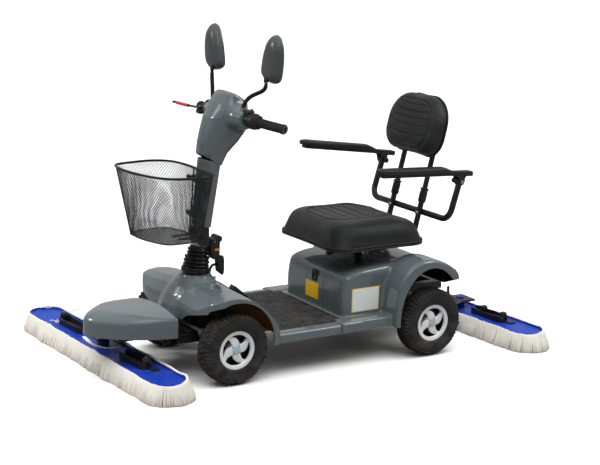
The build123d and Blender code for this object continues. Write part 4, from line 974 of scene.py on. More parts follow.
def makeMat():  # a flat stretch and a stretch up the slope of the front cover, both with a rough pile
    slope = coverSlope()
    slope = slope[(slope[:, 1] > deck["top"] + 2) & (slope[:, 0] < mat["slopeEnd"])]
    line = np.concatenate((((mat["rear"], deck["top"]), (mat["rear"] + 3, deck["top"]),
                            (mat["front"] - 12, deck["top"])), slope))
    run = np.gradient(line, axis=0)
    up = np.stack((-run[:, 1], run[:, 0]), -1) / np.linalg.norm(run, axis=1)[:, None]
    low, high = line + up * mat["low"], line + up * mat["thick"]
    ring = np.concatenate((high, low[::-1]))
    ys = np.r_[-mat["half"], np.linspace(-mat["half"] + 3, mat["half"] - 3, 13), mat["half"]]
    sections = [np.stack((ring[:, 0], np.full(len(ring), y), ring[:, 1]), -1) for y in ys]
    addPiece("mat_sheet", [(loft(sections), matRubber)], "chassis", ("footboard_mat",), 50)
    draw = np.random.default_rng(mat["seed"])
    length = np.r_[0, np.cumsum(np.linalg.norm(np.diff(line, axis=0), axis=1))]
    s = draw.uniform(8, length[-1] - 5, mat["strokes"])
    y = draw.uniform(6 - mat["half"], mat["half"] - 6, mat["strokes"])
    way = np.radians(draw.normal(70, 16, mat["strokes"]))
    x, z, nx, nz = (np.interp(s, length, v) for v in (*high.T, *up.T))
    normal = np.stack((nx, 0 * nx, nz), -1)
    along = np.stack((np.cos(way) * nz, np.sin(way), -np.cos(way) * nx), -1)
    stroke = roundBox((-8, -1.3, -0.8), (8, 1.3, 1.7), 0.6, 1)
    scatter("mat_pile", stroke, np.stack((x, y, z), -1), normal, along, matRubber, "chassis",
            0.3, mat["seed"])
    teeth = np.arange(6 - mat["half"], mat["half"] - 4, mat["toothGap"])
    tooth = roundBox((-8, -3.3, -1.5), (8, 3.3, 2.4), 0.8, 1)
    spots = [(mat["rear"] - 5, t, deck["top"] + 1.4) for t in teeth]
    scatter("mat_edge_teeth", tooth, spots, [(0, 0, 1)] * len(teeth), [(1, 0.5, 0)] * len(teeth),
            rubberBlack, "chassis")


makeFootboard()
makeMat()
print("footboard ready")

rear = {"low": (-612, -336, 118), "high": (-12, 336, 396), "step": 5.5, "wall": 4.0,
        "boxHalf": (216.0, 194.0), "outer": 320.0, "arch": (-406, 155, 140, 191), "foot": 131,
        "deckJoint": -26.0, "sill": 285.0, "mast": (-280, 27), "tail": ((215, 318), (250, 290)),
        "lamp": ((-553, 224, 293), (-534, 276, 317)), "wingInner": 180, "ledge": ((-120, -10, 100), 165),
        "sillFrom": (-300, 215), "sillTop": 171, "wellSide": 236, "wellTop": 200, "wellFront": -260,
        "holeFrom": 300, "tailFrom": -430, "frontCut": (160, 270), "floorCut": (158, 240)}
rearBlends = {"box": 34, "wing": 20, "join": 15, "ledge": 10, "sillEdge": 14, "sill": 8}
boxLine = ((-72, 100), (-72, 161), (-75, 290), (-86, 318), (-112, 332), (-200, 345), (-300, 352),
           (-360, 356), (-410, 358), (-470, 348), (-522, 318), (-546, 290), (-543, 262), (-543, 100))
rearFenderLine = ((-250, 100), (-250, 172), (-253, 230), (-265, 290), (-295, 340), (-342, 369), (-400, 377),
                  (-458, 364), (-512, 334), (-538, 306), (-542, 288), (-542, 100))


def makeRearBody():
    boxShape, fender = (profileField(rounded(line, 140), margin=80) for line in (boxLine, rearFenderLine))

    def field(p):
        x, y, z = p[:, 0], np.abs(p[:, 1]), p[:, 2]
        body = smoothMax(boxShape(x, z), y - np.where(p[:, 1] > 0, *rear["boxHalf"]), rearBlends["box"])
        wing = smoothMax(fender(x, z), np.maximum(y - rear["outer"], rear["wingInner"] - y),
                         rearBlends["wing"])
        body = smoothMin(body, wing, rearBlends["join"])
        corner, ledgeTop = rear["ledge"]
        ledge = boxField(np.stack((x, y, z), -1), corner, (rear["deckJoint"], rear["sill"], ledgeTop))
        behind, inside = rear["sillFrom"]
        sill = np.maximum.reduce((behind - x, x - rear["deckJoint"], inside - y, y - rear["sill"]))
        sill = smoothMax(sill, z - rear["sillTop"], rearBlends["sillEdge"])
        body = smoothMin(body, smoothMax(ledge, -z, 1), rearBlends["ledge"])
        return smoothMin(body, sill, rearBlends["sill"])

    def keep(p):
        x, y, z = p[:, 0], np.abs(p[:, 1]), p[:, 2]
        ax, az, wide, tall = rear["arch"]
        opening = np.maximum((np.hypot((x - ax) / wide, (z - az) / tall) - 1) * wide, rear["wellSide"] - y)
        inner = np.maximum.reduce((z - rear["wellTop"], y - rear["wellSide"], x - rear["wellFront"]))
        hole = np.maximum(np.hypot(x - rear["mast"][0], y) - rear["mast"][1], rear["holeFrom"] - z)
        tail = np.maximum(z - np.interp(y, *rear["tail"]), x - rear["tailFrom"])
        frontTop, frontSide = rear["frontCut"]
        front = np.maximum.reduce((rear["deckJoint"] - 3 - x, z - frontTop, y - frontSide))
        floor, floorSide = rear["floorCut"]
        skirt = np.maximum(z - rear["foot"], floorSide - y)
        low = np.maximum.reduce((z - floor, y - floorSide, rear["wellFront"] - x))
        return np.minimum.reduce((opening, inner, hole, tail, front, skirt, low))
    shellPiece("rear_body_shell", rear, field, keep, rawShellShaded, "chassis", "rear_body")
    (lowX, lowY, lowZ), (highX, highY, highZ) = rear["lamp"]
    lenses = [roundBox((lowX, low, lowZ), (highX, high, highZ), 5, 3)
              for low, high in ((lowY, highY), (-highY, -lowY))]
    addPiece("tail_lamp_lenses", [(lens, lampAmber) for lens in lenses], "chassis",
             ("tail_lamps",))


makeRearBody()
print("rear body ready")

head = {"low": (228, -160, 728), "high": (456, 160, 1030), "step": 4.0, "wall": 3.0,
        "seam": (362, 748, 0.56), "top": 1013.0, "dash": (322, 0.62), "power": (2.3, 3.6),
        "blends": (16, 14, 6, 26)}
headRows = np.array((  # height, middle, reach forward, reach back, half width
    (735, 388, 32, 30, 46), (790, 374, 62, 44, 52), (830, 355, 76, 66, 60), (870, 342, 78, 84, 68),
    (920, 335, 69, 84, 73), (970, 325, 51, 68, 71), (1010, 318, 30, 42, 60), (1040, 316, 14, 26, 44)))
barRoot = {"inner": (322, 58, 922), "outer": (313, 136, 921), "radii": (42, 33)}


def makeHead():
    def row(z, column):
        return np.interp(z, headRows[:, 0], headRows[:, column])

    def field(p):
        x, y, z = p[:, 0], np.abs(p[:, 1]), p[:, 2]
        ahead = x > row(z, 1)
        u = np.abs(x - row(z, 1)) / np.where(ahead, row(z, 2), row(z, 3))
        v = y / row(z, 4)
        power = np.where(ahead, *head["power"])
        body = ((u ** power + v ** power) ** (1 / power) - 1) * np.minimum(row(z, 4), row(z, 2))
        dashAt, dashFall = head["dash"]
        dash = (z - head["top"] + dashFall * (dashAt - x)) / math.hypot(1, dashFall)
        topBlend, dashBlend, rootEnd, rootBlend = head["blends"]
        body = smoothMax(smoothMax(body, z - head["top"], topBlend), dash, dashBlend)
        side = np.stack((x, y, z), -1)
        root = taperedRod(side, barRoot["inner"], barRoot["outer"], *barRoot["radii"])
        root = smoothMax(root, y - barRoot["outer"][1], rootEnd)
        return smoothMin(body, root, rootBlend)
    seamAt, seamHeight, seamRise = head["seam"]

    def keep(p):
        return p[:, 2] - seamHeight - seamRise * (p[:, 0] - seamAt)
    shellPiece("head_shell", head, field, keep, plasticBlack, "tiller", "head_shroud", 34)


makeHead()
print("head ready")


# Soft pads: a closed form is remeshed, swelled like filled fabric, and then gets its seams
def leather(name, color, tone):  # grained vinyl: small rounded cells with fine creases between them
    material, tree = newMaterial(name)
    spot = put(tree, "ShaderNodeTexCoord").outputs["Object"]
    cells = put(tree, "ShaderNodeTexVoronoi", {"Vector": spot, "Scale": 620.0}, feature="DISTANCE_TO_EDGE")
    crease = put(tree, "ShaderNodeMapRange", {"Value": cells.outputs["Distance"], "From Max": 0.12})
    broad = put(tree, "ShaderNodeTexNoise", {"Vector": spot, "Scale": 9.0, "Detail": 5.0, "Roughness": 0.6})
    worn = put(tree, "ShaderNodeMix", {"Factor": broad.outputs[0], 6: tone, 7: color}, data_type="RGBA")
    rough = put(tree, "ShaderNodeMapRange", {"Value": broad.outputs[0], "From Min": 0.3, "From Max": 0.7,
                                             "To Min": 0.3, "To Max": 0.44})
    bump = put(tree, "ShaderNodeBump", {"Strength": 0.35, "Distance": 0.0006, "Height": crease.outputs[0]})
    surface(tree, {"Base Color": worn.outputs[2], "Roughness": rough.outputs[0], "Normal": bump.outputs[0],
                   "Specular IOR Level": 0.6})
    return material


vinylBlack = leather("vinylBlack", rgb(23, 24, 24), rgb(15, 16, 16))
padSkin = leather("padSkin", rgb(22, 24, 27), rgb(15, 16, 19))


# ring of a rounded rectangle, turning left from its right side
def roundRect(half, radii, count=96, middle=(0, 0)):
    quarter = count // 4
    ring = []
    for k, (sx, sy) in enumerate(((1, 1), (-1, 1), (-1, -1), (1, -1))):
        radius = radii[k] if isinstance(radii, tuple) else radii
        for a in np.linspace(k * math.pi / 2, (k + 1) * math.pi / 2, quarter):
            ring.append((middle[0] + sx * (half[0] - radius) + radius * math.cos(a),
                         middle[1] + sy * (half[1] - radius) + radius * math.sin(a)))
    return np.array(ring)


def rectField(u, v, half, radius):  # distance to a rounded rectangle about the origin
    a, b = np.abs(u) - half[0] + radius, np.abs(v) - half[1] + radius
    return np.hypot(np.maximum(a, 0), np.maximum(b, 0)) + np.minimum(np.maximum(a, b), 0) - radius


def meshArrays(mesh):
    points = np.empty(3 * len(mesh.vertices))
    mesh.vertices.foreach_get("co", points)
    return (points.reshape(-1, 3) - origin) * 1000, [tuple(f.vertices) for f in mesh.polygons]


def vertexNormals(mesh):
    normals = np.empty(3 * len(mesh.vertices))
    mesh.vertex_normals.foreach_get("vector", normals)
    return normals.reshape(-1, 3)


def evenedOut(values, mesh, rounds):  # averages a value with its neighbours along the edges
    ends = np.empty(2 * len(mesh.edges), dtype=int)
    mesh.edges.foreach_get("vertices", ends)
    a, b = ends.reshape(-1, 2).T
    share = np.bincount(np.r_[a, b], minlength=len(values))[:, None] + 1
    for _ in range(rounds):
        total = values.copy()
        np.add.at(total, a, values[b])
        np.add.at(total, b, values[a])
        values = total / share
    return values


def puffed(name, shape, cap, voxel, pressure=4.0):  # returns a mesh with one subdivision worked in
    seed = looseMesh(name + "_form", shape[0], faces=[tuple(int(i) for i in f) for f in shape[1]])
    remesh = seed.modifiers.new("remesh", "REMESH")
    remesh.mode = "VOXEL"
    remesh.voxel_size = voxel / 1000
    remesh.use_smooth_shade = True
    mesh = evaluated(seed)
    bpy.data.objects.remove(seed)
    points, faces = meshArrays(mesh)
    form = linked(name + "_cloth", mesh)
    cloth = form.modifiers.new("cloth", "CLOTH")
    cloth.settings.use_pressure = True
    cloth.settings.uniform_pressure_force = pressure
    cloth.settings.effector_weights.gravity = 0
    for step in range(1, 21):
        bpy.context.scene.frame_set(step)
    swelled, _ = meshArrays(evaluated(form))
    move = evenedOut(swelled - points, mesh, 40)
    size = np.linalg.norm(move, axis=1)[:, None]
    points = points + move * np.minimum(1, cap / np.maximum(size, 1e-6))
    bpy.data.objects.remove(form)
    bpy.context.scene.frame_set(1)
    form = looseMesh(name + "_smooth", points, faces=faces)
    subdivision = form.modifiers.new("subdivision", "SUBSURF")
    subdivision.levels = subdivision.render_levels = 1
    mesh = evaluated(form)
    bpy.data.objects.remove(form)
    return mesh


def groove(distance, depth, width):
    return -depth * np.exp(-(distance / width) ** 2)


def pressed(mesh, amount):  # moves each point along its normal by an amount in millimetres
    points, faces = meshArrays(mesh)
    return points + vertexNormals(mesh) * amount[:, None], faces


def outerRing(flat, count=150):  # the outermost points of a flat cloud about its middle, evened out
    middle = (flat.min(0) + flat.max(0)) / 2
    angle = np.arctan2(flat[:, 1] - middle[1], flat[:, 0] - middle[0])
    reach = np.hypot(*(flat - middle).T)
    turn = (np.arange(count) + 0.5) / count * tau - math.pi
    found = np.array([reach[np.abs(np.angle(np.exp(1j * (angle - t)))) < 0.8 * tau / count].max(initial=0)
                      for t in turn])
    found = np.where(found > 0, found, np.roll(found, 1))
    found = (np.roll(found, 1) + found + np.roll(found, -1)) / 3
    return middle + found[:, None] * np.stack((np.cos(turn), np.sin(turn)), -1)


# height of a top surface over flat spots, from its nearest points
def surfaceHeight(points, spots, reach=5.0):
    heights = []
    for spot in spots:
        near = np.hypot(*(points[:, :2] - spot).T) < reach
        heights.append(points[near, 2].max() if near.any() else points[:, 2].max())
    return np.array(heights)


seat = {"middle": (-246, -8), "half": (212, 220), "corner": 58, "voxel": 5.0, "cap": 6.0,
        "panel": (-226, -14), "panelHalf": (128, 118), "panelCorner": 58, "channels": 5, "channelGap": 44.0,
        "bow": 0.0011, "rearFall": 16.0, "dish": 7.0, "dishSize": (130, 105), "panelGroove": (3.8, 3.4),
        "channelGroove": (3.4, 3.2), "fallUp": (430, 60), "fallFrom": (-300, 130), "sole": 414.5,
        "welts": (417.5, 426.5), "weltWire": 4.6, "stitchGap": 6,
        "rows": ((416, 6), (421, 0), (428, 3), (440, 7), (458, 12), (476, 17), (492, 23), (502, 31),
                 (508, 43), (510.5, 64), (510, 94), (509, 130))}


def makeSeat():
    sections = []
    for z, inset in seat["rows"]:
        half = (seat["half"][0] - inset, seat["half"][1] - inset)
        ring = roundRect(half, min(seat["corner"] + inset * 0.5, 78, half[0] - 2), 96,
                         (seat["middle"][0] - inset * 0.12, 0))
        sections.append(np.c_[ring, np.full(len(ring), z)])
    mesh = puffed("seat_cushion_pad", loft(sections), seat["cap"], seat["voxel"])
    points, _ = meshArrays(mesh)
    up = np.clip((vertexNormals(mesh)[:, 2] - 0.45) / 0.3, 0, 1)
    u, v = points[:, 0] - seat["panel"][0], points[:, 1] - seat["panel"][1]
    edge = rectField(u, v, seat["panelHalf"], seat["panelCorner"])
    inside = np.clip(-edge / 8, 0, 1)
    waist = u - seat["bow"] * v ** 2 + 8
    first = -(seat["channels"] - 1) / 2 * seat["channelGap"]
    amount = groove(edge, *seat["panelGroove"])
    for k in range(seat["channels"]):
        amount = amount + inside * groove(waist - first - k * seat["channelGap"], *seat["channelGroove"])
    long, wide = seat["dishSize"]
    amount = (amount - seat["dish"] * np.exp(-(u / long) ** 2 - (v / wide) ** 2)) * up
    points, faces = pressed(mesh, amount)
    tall = np.clip((points[:, 2] - seat["fallUp"][0]) / seat["fallUp"][1], 0, 1)
    fall = np.clip((seat["fallFrom"][0] - points[:, 0]) / seat["fallFrom"][1], 0, 1)
    sunk = points[:, 2] - seat["rearFall"] * tall * fall * fall * (3 - 2 * fall)
    points[:, 2] = np.maximum(sunk, seat["sole"])
    piece = addPiece("seat_cushion_pad", [((points, faces), vinylBlack)], "seat",
                     ("seat_cushion",), 70)
    ring = outerRing(points[points[:, 2] < 428][:, :2])
    welts = [np.c_[ring, np.full(len(ring), z)] for z in seat["welts"]]
    wires("seat_piping", welts, seat["weltWire"], vinylBlack, "seat", 8, True)
    gap = seat["stitchGap"]
    half = (seat["panelHalf"][0] + gap, seat["panelHalf"][1] + gap)
    line = roundRect(half, seat["panelCorner"] + gap, 180, seat["panel"])
    run = np.roll(line, -1, axis=0) - np.roll(line, 1, axis=0)
    stitch = roundBox((-3.0, -0.6, -0.5), (3.0, 0.6, 0.7), 0.3, 1)
    scatter("seat_stitches", stitch, np.c_[line, surfaceHeight(points, line)], [(0, 0, 1)] * len(line),
            np.c_[run, 0 * run[:, 0]], rubberBlack, "seat")


back = {"half": (165, 119), "corners": (112, 112, 74, 74), "voxel": 4.5, "cap": 5.0, "panelHalf": (124, 92),
        "panelCorner": 64, "panelRise": -3, "channels": (72, 44, 17, -11, -47), "bow": 0.0006,
        "lean": math.radians(13.7), "seam": 56.0, "panelGroove": (4.0, 3.2), "channelGroove": (3.2, 3.0),
        "seamGroove": (2.6, 2.4), "height": 838, "stand": 14, "welt": 9, "weltWire": 4.2,
        "rows": ((1, 14), (5, 6), (14, 2), (38, 3), (52, 8), (62, 18), (68, 32), (71.5, 52), (73, 78))}
posts = {"y": 90, "foot": 394, "bend": -470, "start": -385, "radius": 11.0, "sleeve": (548, 602),
         "top": 604, "rod": (548, 800), "tube": 12.0, "tubeLow": 508, "tubeBack": -516.0,
         "tubeTop": (-557, 255, 648), "tubeBend": 42, "bendRadius": 36,
         "eye": ((0, 0), (13, 0), (15, 1.5), (15, 25.5), (13, 27), (0, 27)), "eyeLong": 27}


def postX(z):
    return posts["bend"] - (z - posts["foot"]) * math.tan(back["lean"])


def bentPath(points, radius, count=9):  # straight runs with round corners
    points = np.array(points, float)
    path = [points[0]]
    for before, corner, after in zip(points, points[1:], points[2:]):
        a, b = unit(before - corner), unit(after - corner)
        half = math.acos(np.clip(a @ b, -1, 1)) / 2
        middle = corner + unit(a + b) * radius / math.sin(half)
        first = corner + a * radius / math.tan(half) - middle
        last = corner + b * radius / math.tan(half) - middle
        swing = math.pi - 2 * half
        for t in np.linspace(0, 1, count):
            path.append(middle + (first * math.sin((1 - t) * swing) + last * math.sin(t * swing))
                        / math.sin(swing))
    return np.array(path + [points[-1]])


def backAxes():  # across, up the lean and forward, and where the pad's back stands
    lean = back["lean"]
    ahead = np.array((math.cos(lean), 0, math.sin(lean)))
    rise = np.array((-math.sin(lean), 0, math.cos(lean)))
    return np.stack((np.array((0, 1.0, 0)), rise, ahead)), np.array((postX(back["height"]) + back["stand"],
            0, back["height"]))


def makeBackrest():
    axes, place = backAxes()
    sections = []
    for w, inset in back["rows"]:
        half = (back["half"][0] - inset, back["half"][1] - inset)
        ring = roundRect(half, tuple(max(min(r - inset * 0.35, half[1] - 1), 20) for r in back["corners"]))
        sections.append(np.c_[ring, np.full(len(ring), w)])
    mesh = puffed("backrest_cushion", moved(loft(sections), axes, place), back["cap"], back["voxel"])
    points, _ = meshArrays(mesh)
    u, v, w = ((points - place) @ axes.T).T
    facing = np.clip((vertexNormals(mesh) @ axes[2] - 0.4) / 0.3, 0, 1)
    edge = rectField(u, v - back["panelRise"], back["panelHalf"], back["panelCorner"])
    inside = np.clip(-edge / 8, 0, 1)
    amount = groove(edge, *back["panelGroove"])
    for level in back["channels"]:
        amount = amount + inside * groove(v - level - back["bow"] * u ** 2 + 4, *back["channelGroove"])
    amount = amount * facing + groove(w - back["seam"], *back["seamGroove"]) * (1 - facing)
    points, faces = pressed(mesh, amount)
    piece = addPiece("backrest_cushion", [((points, faces), vinylBlack)], "backrest",
                     ("backrest_pad",), 70)
    flat = (points - place) @ axes.T
    ring = outerRing(flat[(flat[:, 2] > 4) & (flat[:, 2] < 16)][:, :2], 130)
    welt = np.c_[ring, np.full(len(ring), back["welt"])] @ axes + place
    wires("backrest_piping", [welt], back["weltWire"], vinylBlack, "backrest", 8, True)
    parts = [(moved(roundBox((-120, -75, -6), (120, 75, -0.2), 2.5, 2), axes, place), frameBlack)]
    low, high = posts["rod"]
    for y in (posts["y"], -posts["y"]):
        parts.append((sweep([(postX(z), y, z) for z in (low, 640, 720, high)], 10.3, 20), frameBlack))
    addPiece("backrest_tubes", parts, "backrest", ("backrest_rods",))


def makeBackFrame():
    parts, caps = [], []
    rise = unit((-math.tan(back["lean"]), 0, 1))
    for y in (posts["y"], -posts["y"]):
        path = [(posts["start"], y, posts["foot"]), (posts["bend"], y, posts["foot"]),
                (postX(posts["top"]), y, posts["top"])]
        parts.append((sweep(bentPath(path, posts["bendRadius"]), posts["radius"], 22), frameBlack))
        low, high = posts["sleeve"]
        tall = (high - low) / rise[2]
        profile = [(11, 0), (14.5, 0.8), (15.4, 2.5), (15.4, tall - 14), (13.6, tall - 12),
                   (13.6, tall - 9), (16.2, tall - 8), (16.8, tall - 6), (16.8, tall - 2), (15.8, tall),
                   (11.2, tall)]
        parts.append((lathe(profile, (postX(low), y, low), rise, 28), plasticBlack))
        caps.append((postX(low + 20) + 12, y, low + 22))
    top = posts["tubeTop"]
    cross = [(posts["tubeBack"], s * top[1], posts["tubeLow"]) for s in (-1, 1)]
    path = [(top[0], -top[1], top[2]), *cross, top]
    parts.append((sweep(bentPath(path, posts["tubeBend"]), posts["tube"], 22), frameBlack))
    for s in (-1, 1):
        start = (top[0], s * top[1] - posts["eyeLong"] / 2, arm["hinge"][2])
        parts.append((lathe(posts["eye"], start, (0, 1, 0), 28), frameBlack))
    addPiece("back_frame_tubes", parts, "seat", ("back_frame",))
    screws("sleeve_screws", caps, (1, 0, 0.2), 3.4, 3.0, steel, "seat")
    front = (math.cos(back["lean"]), 0, math.sin(back["lean"]))
    level = posts["tubeLow"]
    crossing = [(postX(level) + posts["radius"] - 0.6, y, level) for y in (posts["y"], -posts["y"])]
    screws("arm_tube_bolts", crossing, front, 8.0, 5.5, steel, "seat")


arm = {"pad": (36, 392), "plate": (-50, 374), "half": 27.0, "tall": 25.0, "padLow": 9.0,
       "hinge": (-557, 255, 656), "drop": 20.0,
       "cheek": ((15, 16), (22, 23), (-22, 23), (-15, 16), (-13, 0), (-9, -9), (0, -13), (9, -9), (13, 0)),
       "cheekAt": 16.3, "cheekThick": 4.5, "screwsAt": (-36, 14),
       "knob": ((0, 0), (5, 0), (5, 5), (9, 6), (10.5, 8), (10.5, 15), (8.5, 18), (0, 18.5))}


def makeArmrest(name, side, rise, lift, reach):
    eye = np.array(arm["hinge"]) * (1, side, 1)
    ahead = np.array((math.cos(rise), 0, math.sin(rise)))
    upward = np.array((-math.sin(rise), 0, math.cos(rise)))
    axes = np.stack((ahead, np.array((0, 1.0, 0)), upward))
    place = eye + (0, 0, arm["drop"] + lift)
    start, end = arm["pad"]
    end += reach
    sections = []
    for t in np.r_[0, np.linspace(0.012, 0.988, 30), 1]:
        near = min(t / 0.06, (1 - t) / 0.05, 1)
        swell = 0.94 + 0.06 * math.sin(math.pi * t)
        half = arm["half"] * swell * math.sqrt(max(1 - (1 - near) ** 2, 0.03))
        tall = arm["tall"] * (0.34 + 0.66 * min(1, t / 0.13)) * (0.6 + 0.4 * min(1, (1 - t) / 0.07))
        base = arm["padLow"] + 5.0 * max(0, (t - 0.88) / 0.12) ** 2
        ring = []
        for a in np.linspace(0, tau, 40, endpoint=False):
            c, s = math.cos(a), math.sin(a)
            across = half * math.copysign(abs(c) ** 0.55, c)
            crown = 1 - 0.16 * (across / arm["half"]) ** 2 if s > 0 else 1
            ring.append((start + (end - start) * t, across,
                         base + tall / 2 * (1 + math.copysign(abs(s) ** 0.6, s) * crown)))
        sections.append(ring)
    piece = addPiece(f"{name}_pad", [(moved(loft(sections), axes, place), padSkin)], name,
                     (), 60)
    low, high = arm["plate"]
    parts = [(moved(roundBox((low, -17, 0), (high + reach, 17, 12), 2.4, 2), axes, place), frameBlack),
             (moved(roundBox((low - 2, -19, -3), (32, 19, 16), 3, 2), axes, place), frameBlack)]
    thick = arm["cheekThick"]
    for s in (-1, 1):
        cheek = slab(arm["cheek"], thick, 0.9, 1)
        parts.append((moved(cheek, upright, eye + (0, s * arm["cheekAt"] + thick / 2, 0)), frameBlack))
    addPiece(f"{name}_bracket", parts, name, (name,))
    knob = lathe(arm["knob"], eye + (0, -side * 18.5, 0), (0, -side, 0), 20)
    addPiece(f"{name}_knob", [(knob, plasticBlack)], name)
    screws(f"{name}_screws", [eye + (0, side * 18.4, 0)], (0, side, 0), 7.5, 5.0, steel, name)
    spots = [place + ahead * d + upward * 15.8 for d in arm["screwsAt"]]
    screws(f"{name}_plate_screws", spots, upward, 3.6, 2.6, steel, name)


makeSeat()
makeBackrest()
makeBackFrame()
makeArmrest("armrest_left", 1, math.radians(2.5), 5.0, -8.0)
makeArmrest("armrest_right", -1, math.radians(7.3), 3.0, 10.0)
print("seat, backrest and armrests ready")

basket = {"back": 453.0, "low": 490.0, "high": 741.0, "wires": 96, "shift": 0.2, "wire": 1.15,
          "rimWire": 4.4, "floorGap": 11.5}
rimPlan = ((454, 10), (460, 120), (470, 178), (500, 193), (555, 193), (631, 172), (684, 85), (704, 0),
           (705, -95), (688, -146), (620, -168), (525, -171), (478, -140), (458, -80))
floorPlan = ((454, -20), (456, 40), (462, 90), (490, 104), (538, 106), (598, 100), (630, 45), (645, -15),
             (648, -80), (640, -124), (600, -148), (530, -155), (482, -146), (458, -95))


def basketRing(f, count=276):  # closed outline at a height from floor to rim, evenly spaced
    plan = np.array(floorPlan, float) * (1 - f) + np.array(rimPlan, float) * f
    loop = spline(np.concatenate((plan[-3:], plan, plan[:4])), 420)
    nearest = [int(np.argmin(np.linalg.norm(loop - spot, axis=1) + 999 * (np.arange(420) // 210 != half)))
               for half, spot in enumerate((plan[0], plan[0]))]
    closed = loop[nearest[0]:nearest[1] + 1]
    length = np.r_[0, np.cumsum(np.linalg.norm(np.diff(closed, axis=0), axis=1))]
    s = np.linspace(0, length[-1], count, endpoint=False)
    z = basket["low"] + f * (basket["high"] - basket["low"])
    x = np.maximum(np.interp(s, length, closed[:, 0]), basket["back"])
    return np.stack((x, np.interp(s, length, closed[:, 1]), np.full(count, z)), -1)


def makeBasket():
    steps = 15
    count = basket["wires"] * 3
    rings = [basketRing(f, count) for f in np.linspace(0, 1, steps)]
    runs = []
    for k in range(basket["wires"]):
        for way in (1, -1):
            picks = [3 * k + way * basket["shift"] * count * j / (steps - 1) for j in range(steps)]
            runs.append([ring[int(round(pick)) % count] for ring, pick in zip(rings, picks)])
    wires("basket_mesh_walls", runs, basket["wire"], wireBlack, "basket", 4, False,
          ("basket",))
    edge = rings[0][:, :2]
    middle = edge.mean(0)
    spans = []
    for angle in (math.pi / 4, -math.pi / 4):
        across = np.array((-math.sin(angle), math.cos(angle)))
        off = (edge - middle) @ across
        for level in np.arange(off.min() + 5, off.max() - 4, basket["floorGap"]):
            cut = []
            for a, b, p, q in zip(off, np.roll(off, -1), edge, np.roll(edge, -1, axis=0)):
                if (a > level) != (b > level):
                    cut.append(p + (q - p) * (level - a) / (b - a))
            if len(cut) == 2:
                spans.append([(*cut[0], basket["low"]), (*((cut[0] + cut[1]) / 2), basket["low"] - 0.5),
                              (*cut[1], basket["low"])])
    wires("basket_mesh_floor", spans, basket["wire"], wireBlack, "basket", 4)
    wires("basket_rim", [rings[-1]], basket["rimWire"], wireBlack, "basket", 10, True)
    wires("basket_rings", [rings[0]], 2.4, wireBlack, "basket", 8, True)
    wires("basket_posts", [[ring[0] for ring in rings]], 2.6, wireBlack, "basket", 8)
    hook = [roundBox((443, -46, z), (456, 46, z + 16), 2.5, 2) for z in (560, 690)]
    addPiece("basket_hooks", [(h, frameBlack) for h in hook], "basket")


makeBasket()
print("basket ready")

# Mops: a rippled core under the board, strands over it, and the clamps on the board
mopSize = {"width": 135.0, "boardTop": 72.0, "pitch": 4.3, "strand": 2.45, "layers": 2, "spread": 23.0}


def cotton(name, color, low):  # twisted yarn with a grey-brown tint near the floor
    material, tree = newMaterial(name)
    spot = put(tree, "ShaderNodeTexCoord").outputs["Object"]
    twist = put(tree, "ShaderNodeTexWave",
                {"Vector": spot, "Scale": 190.0, "Distortion": 3.0, "Detail": 2.0},
                bands_direction="DIAGONAL")
    broad = put(tree, "ShaderNodeTexNoise", {"Vector": spot, "Scale": 38.0, "Detail": 4.0})
    height = put(tree, "ShaderNodeSeparateXYZ", {"Vector": spot}).outputs["Z"]
    near = put(tree, "ShaderNodeMapRange",
               {"Value": height, "From Min": 0.0, "From Max": 0.045, "To Min": 0.7, "To Max": 0.0})
    soil = put(tree, "ShaderNodeMath", {0: near.outputs[0], 1: broad.outputs[0]}, operation="MULTIPLY")
    tinted = put(tree, "ShaderNodeMix", {"Factor": soil.outputs[0], 6: color, 7: low}, data_type="RGBA")
    bump = put(tree, "ShaderNodeBump", {"Strength": 0.5, "Distance": 0.0008, "Height": twist.outputs[0]})
    surface(tree, {"Base Color": tinted.outputs[2], "Roughness": 0.92, "Normal": bump.outputs[0],
                   "Sheen Weight": 0.25})
    return material


yarnCream = cotton("yarnCream", rgb(241, 237, 228), rgb(184, 170, 146))
# the core under the strands is a darker cream: painted shade in the gaps between the strands
yarnPaintedShade = cotton("yarnPaintedShade", rgb(176, 161, 136), rgb(140, 124, 98))
mops = {"front_mop": {"centre": (724, -172), "length": 1085.0, "yaw": 2.6, "seed": 11, "clamps": 245.0,
                      "knobs": (80,)},
        "rear_mop": {"centre": (-797, 0), "length": 914.0, "yaw": 4.0, "seed": 23, "clamps": 178.0,
                     "knobs": (-31, 80)}}


def mopAxes(look):
    turn = math.radians(look["yaw"])
    across = np.array((math.cos(turn), math.sin(turn), 0))
    along = np.array((-math.sin(turn), math.cos(turn), 0))
    return np.stack((across, along, np.array((0, 0, 1.0)))), np.array((*look["centre"], 0.0))


def onMop(name, spots):  # across and along the board and up, to the vehicle
    axes, place = mopAxes(mops[name])
    return np.asarray(spots, float) @ axes + place


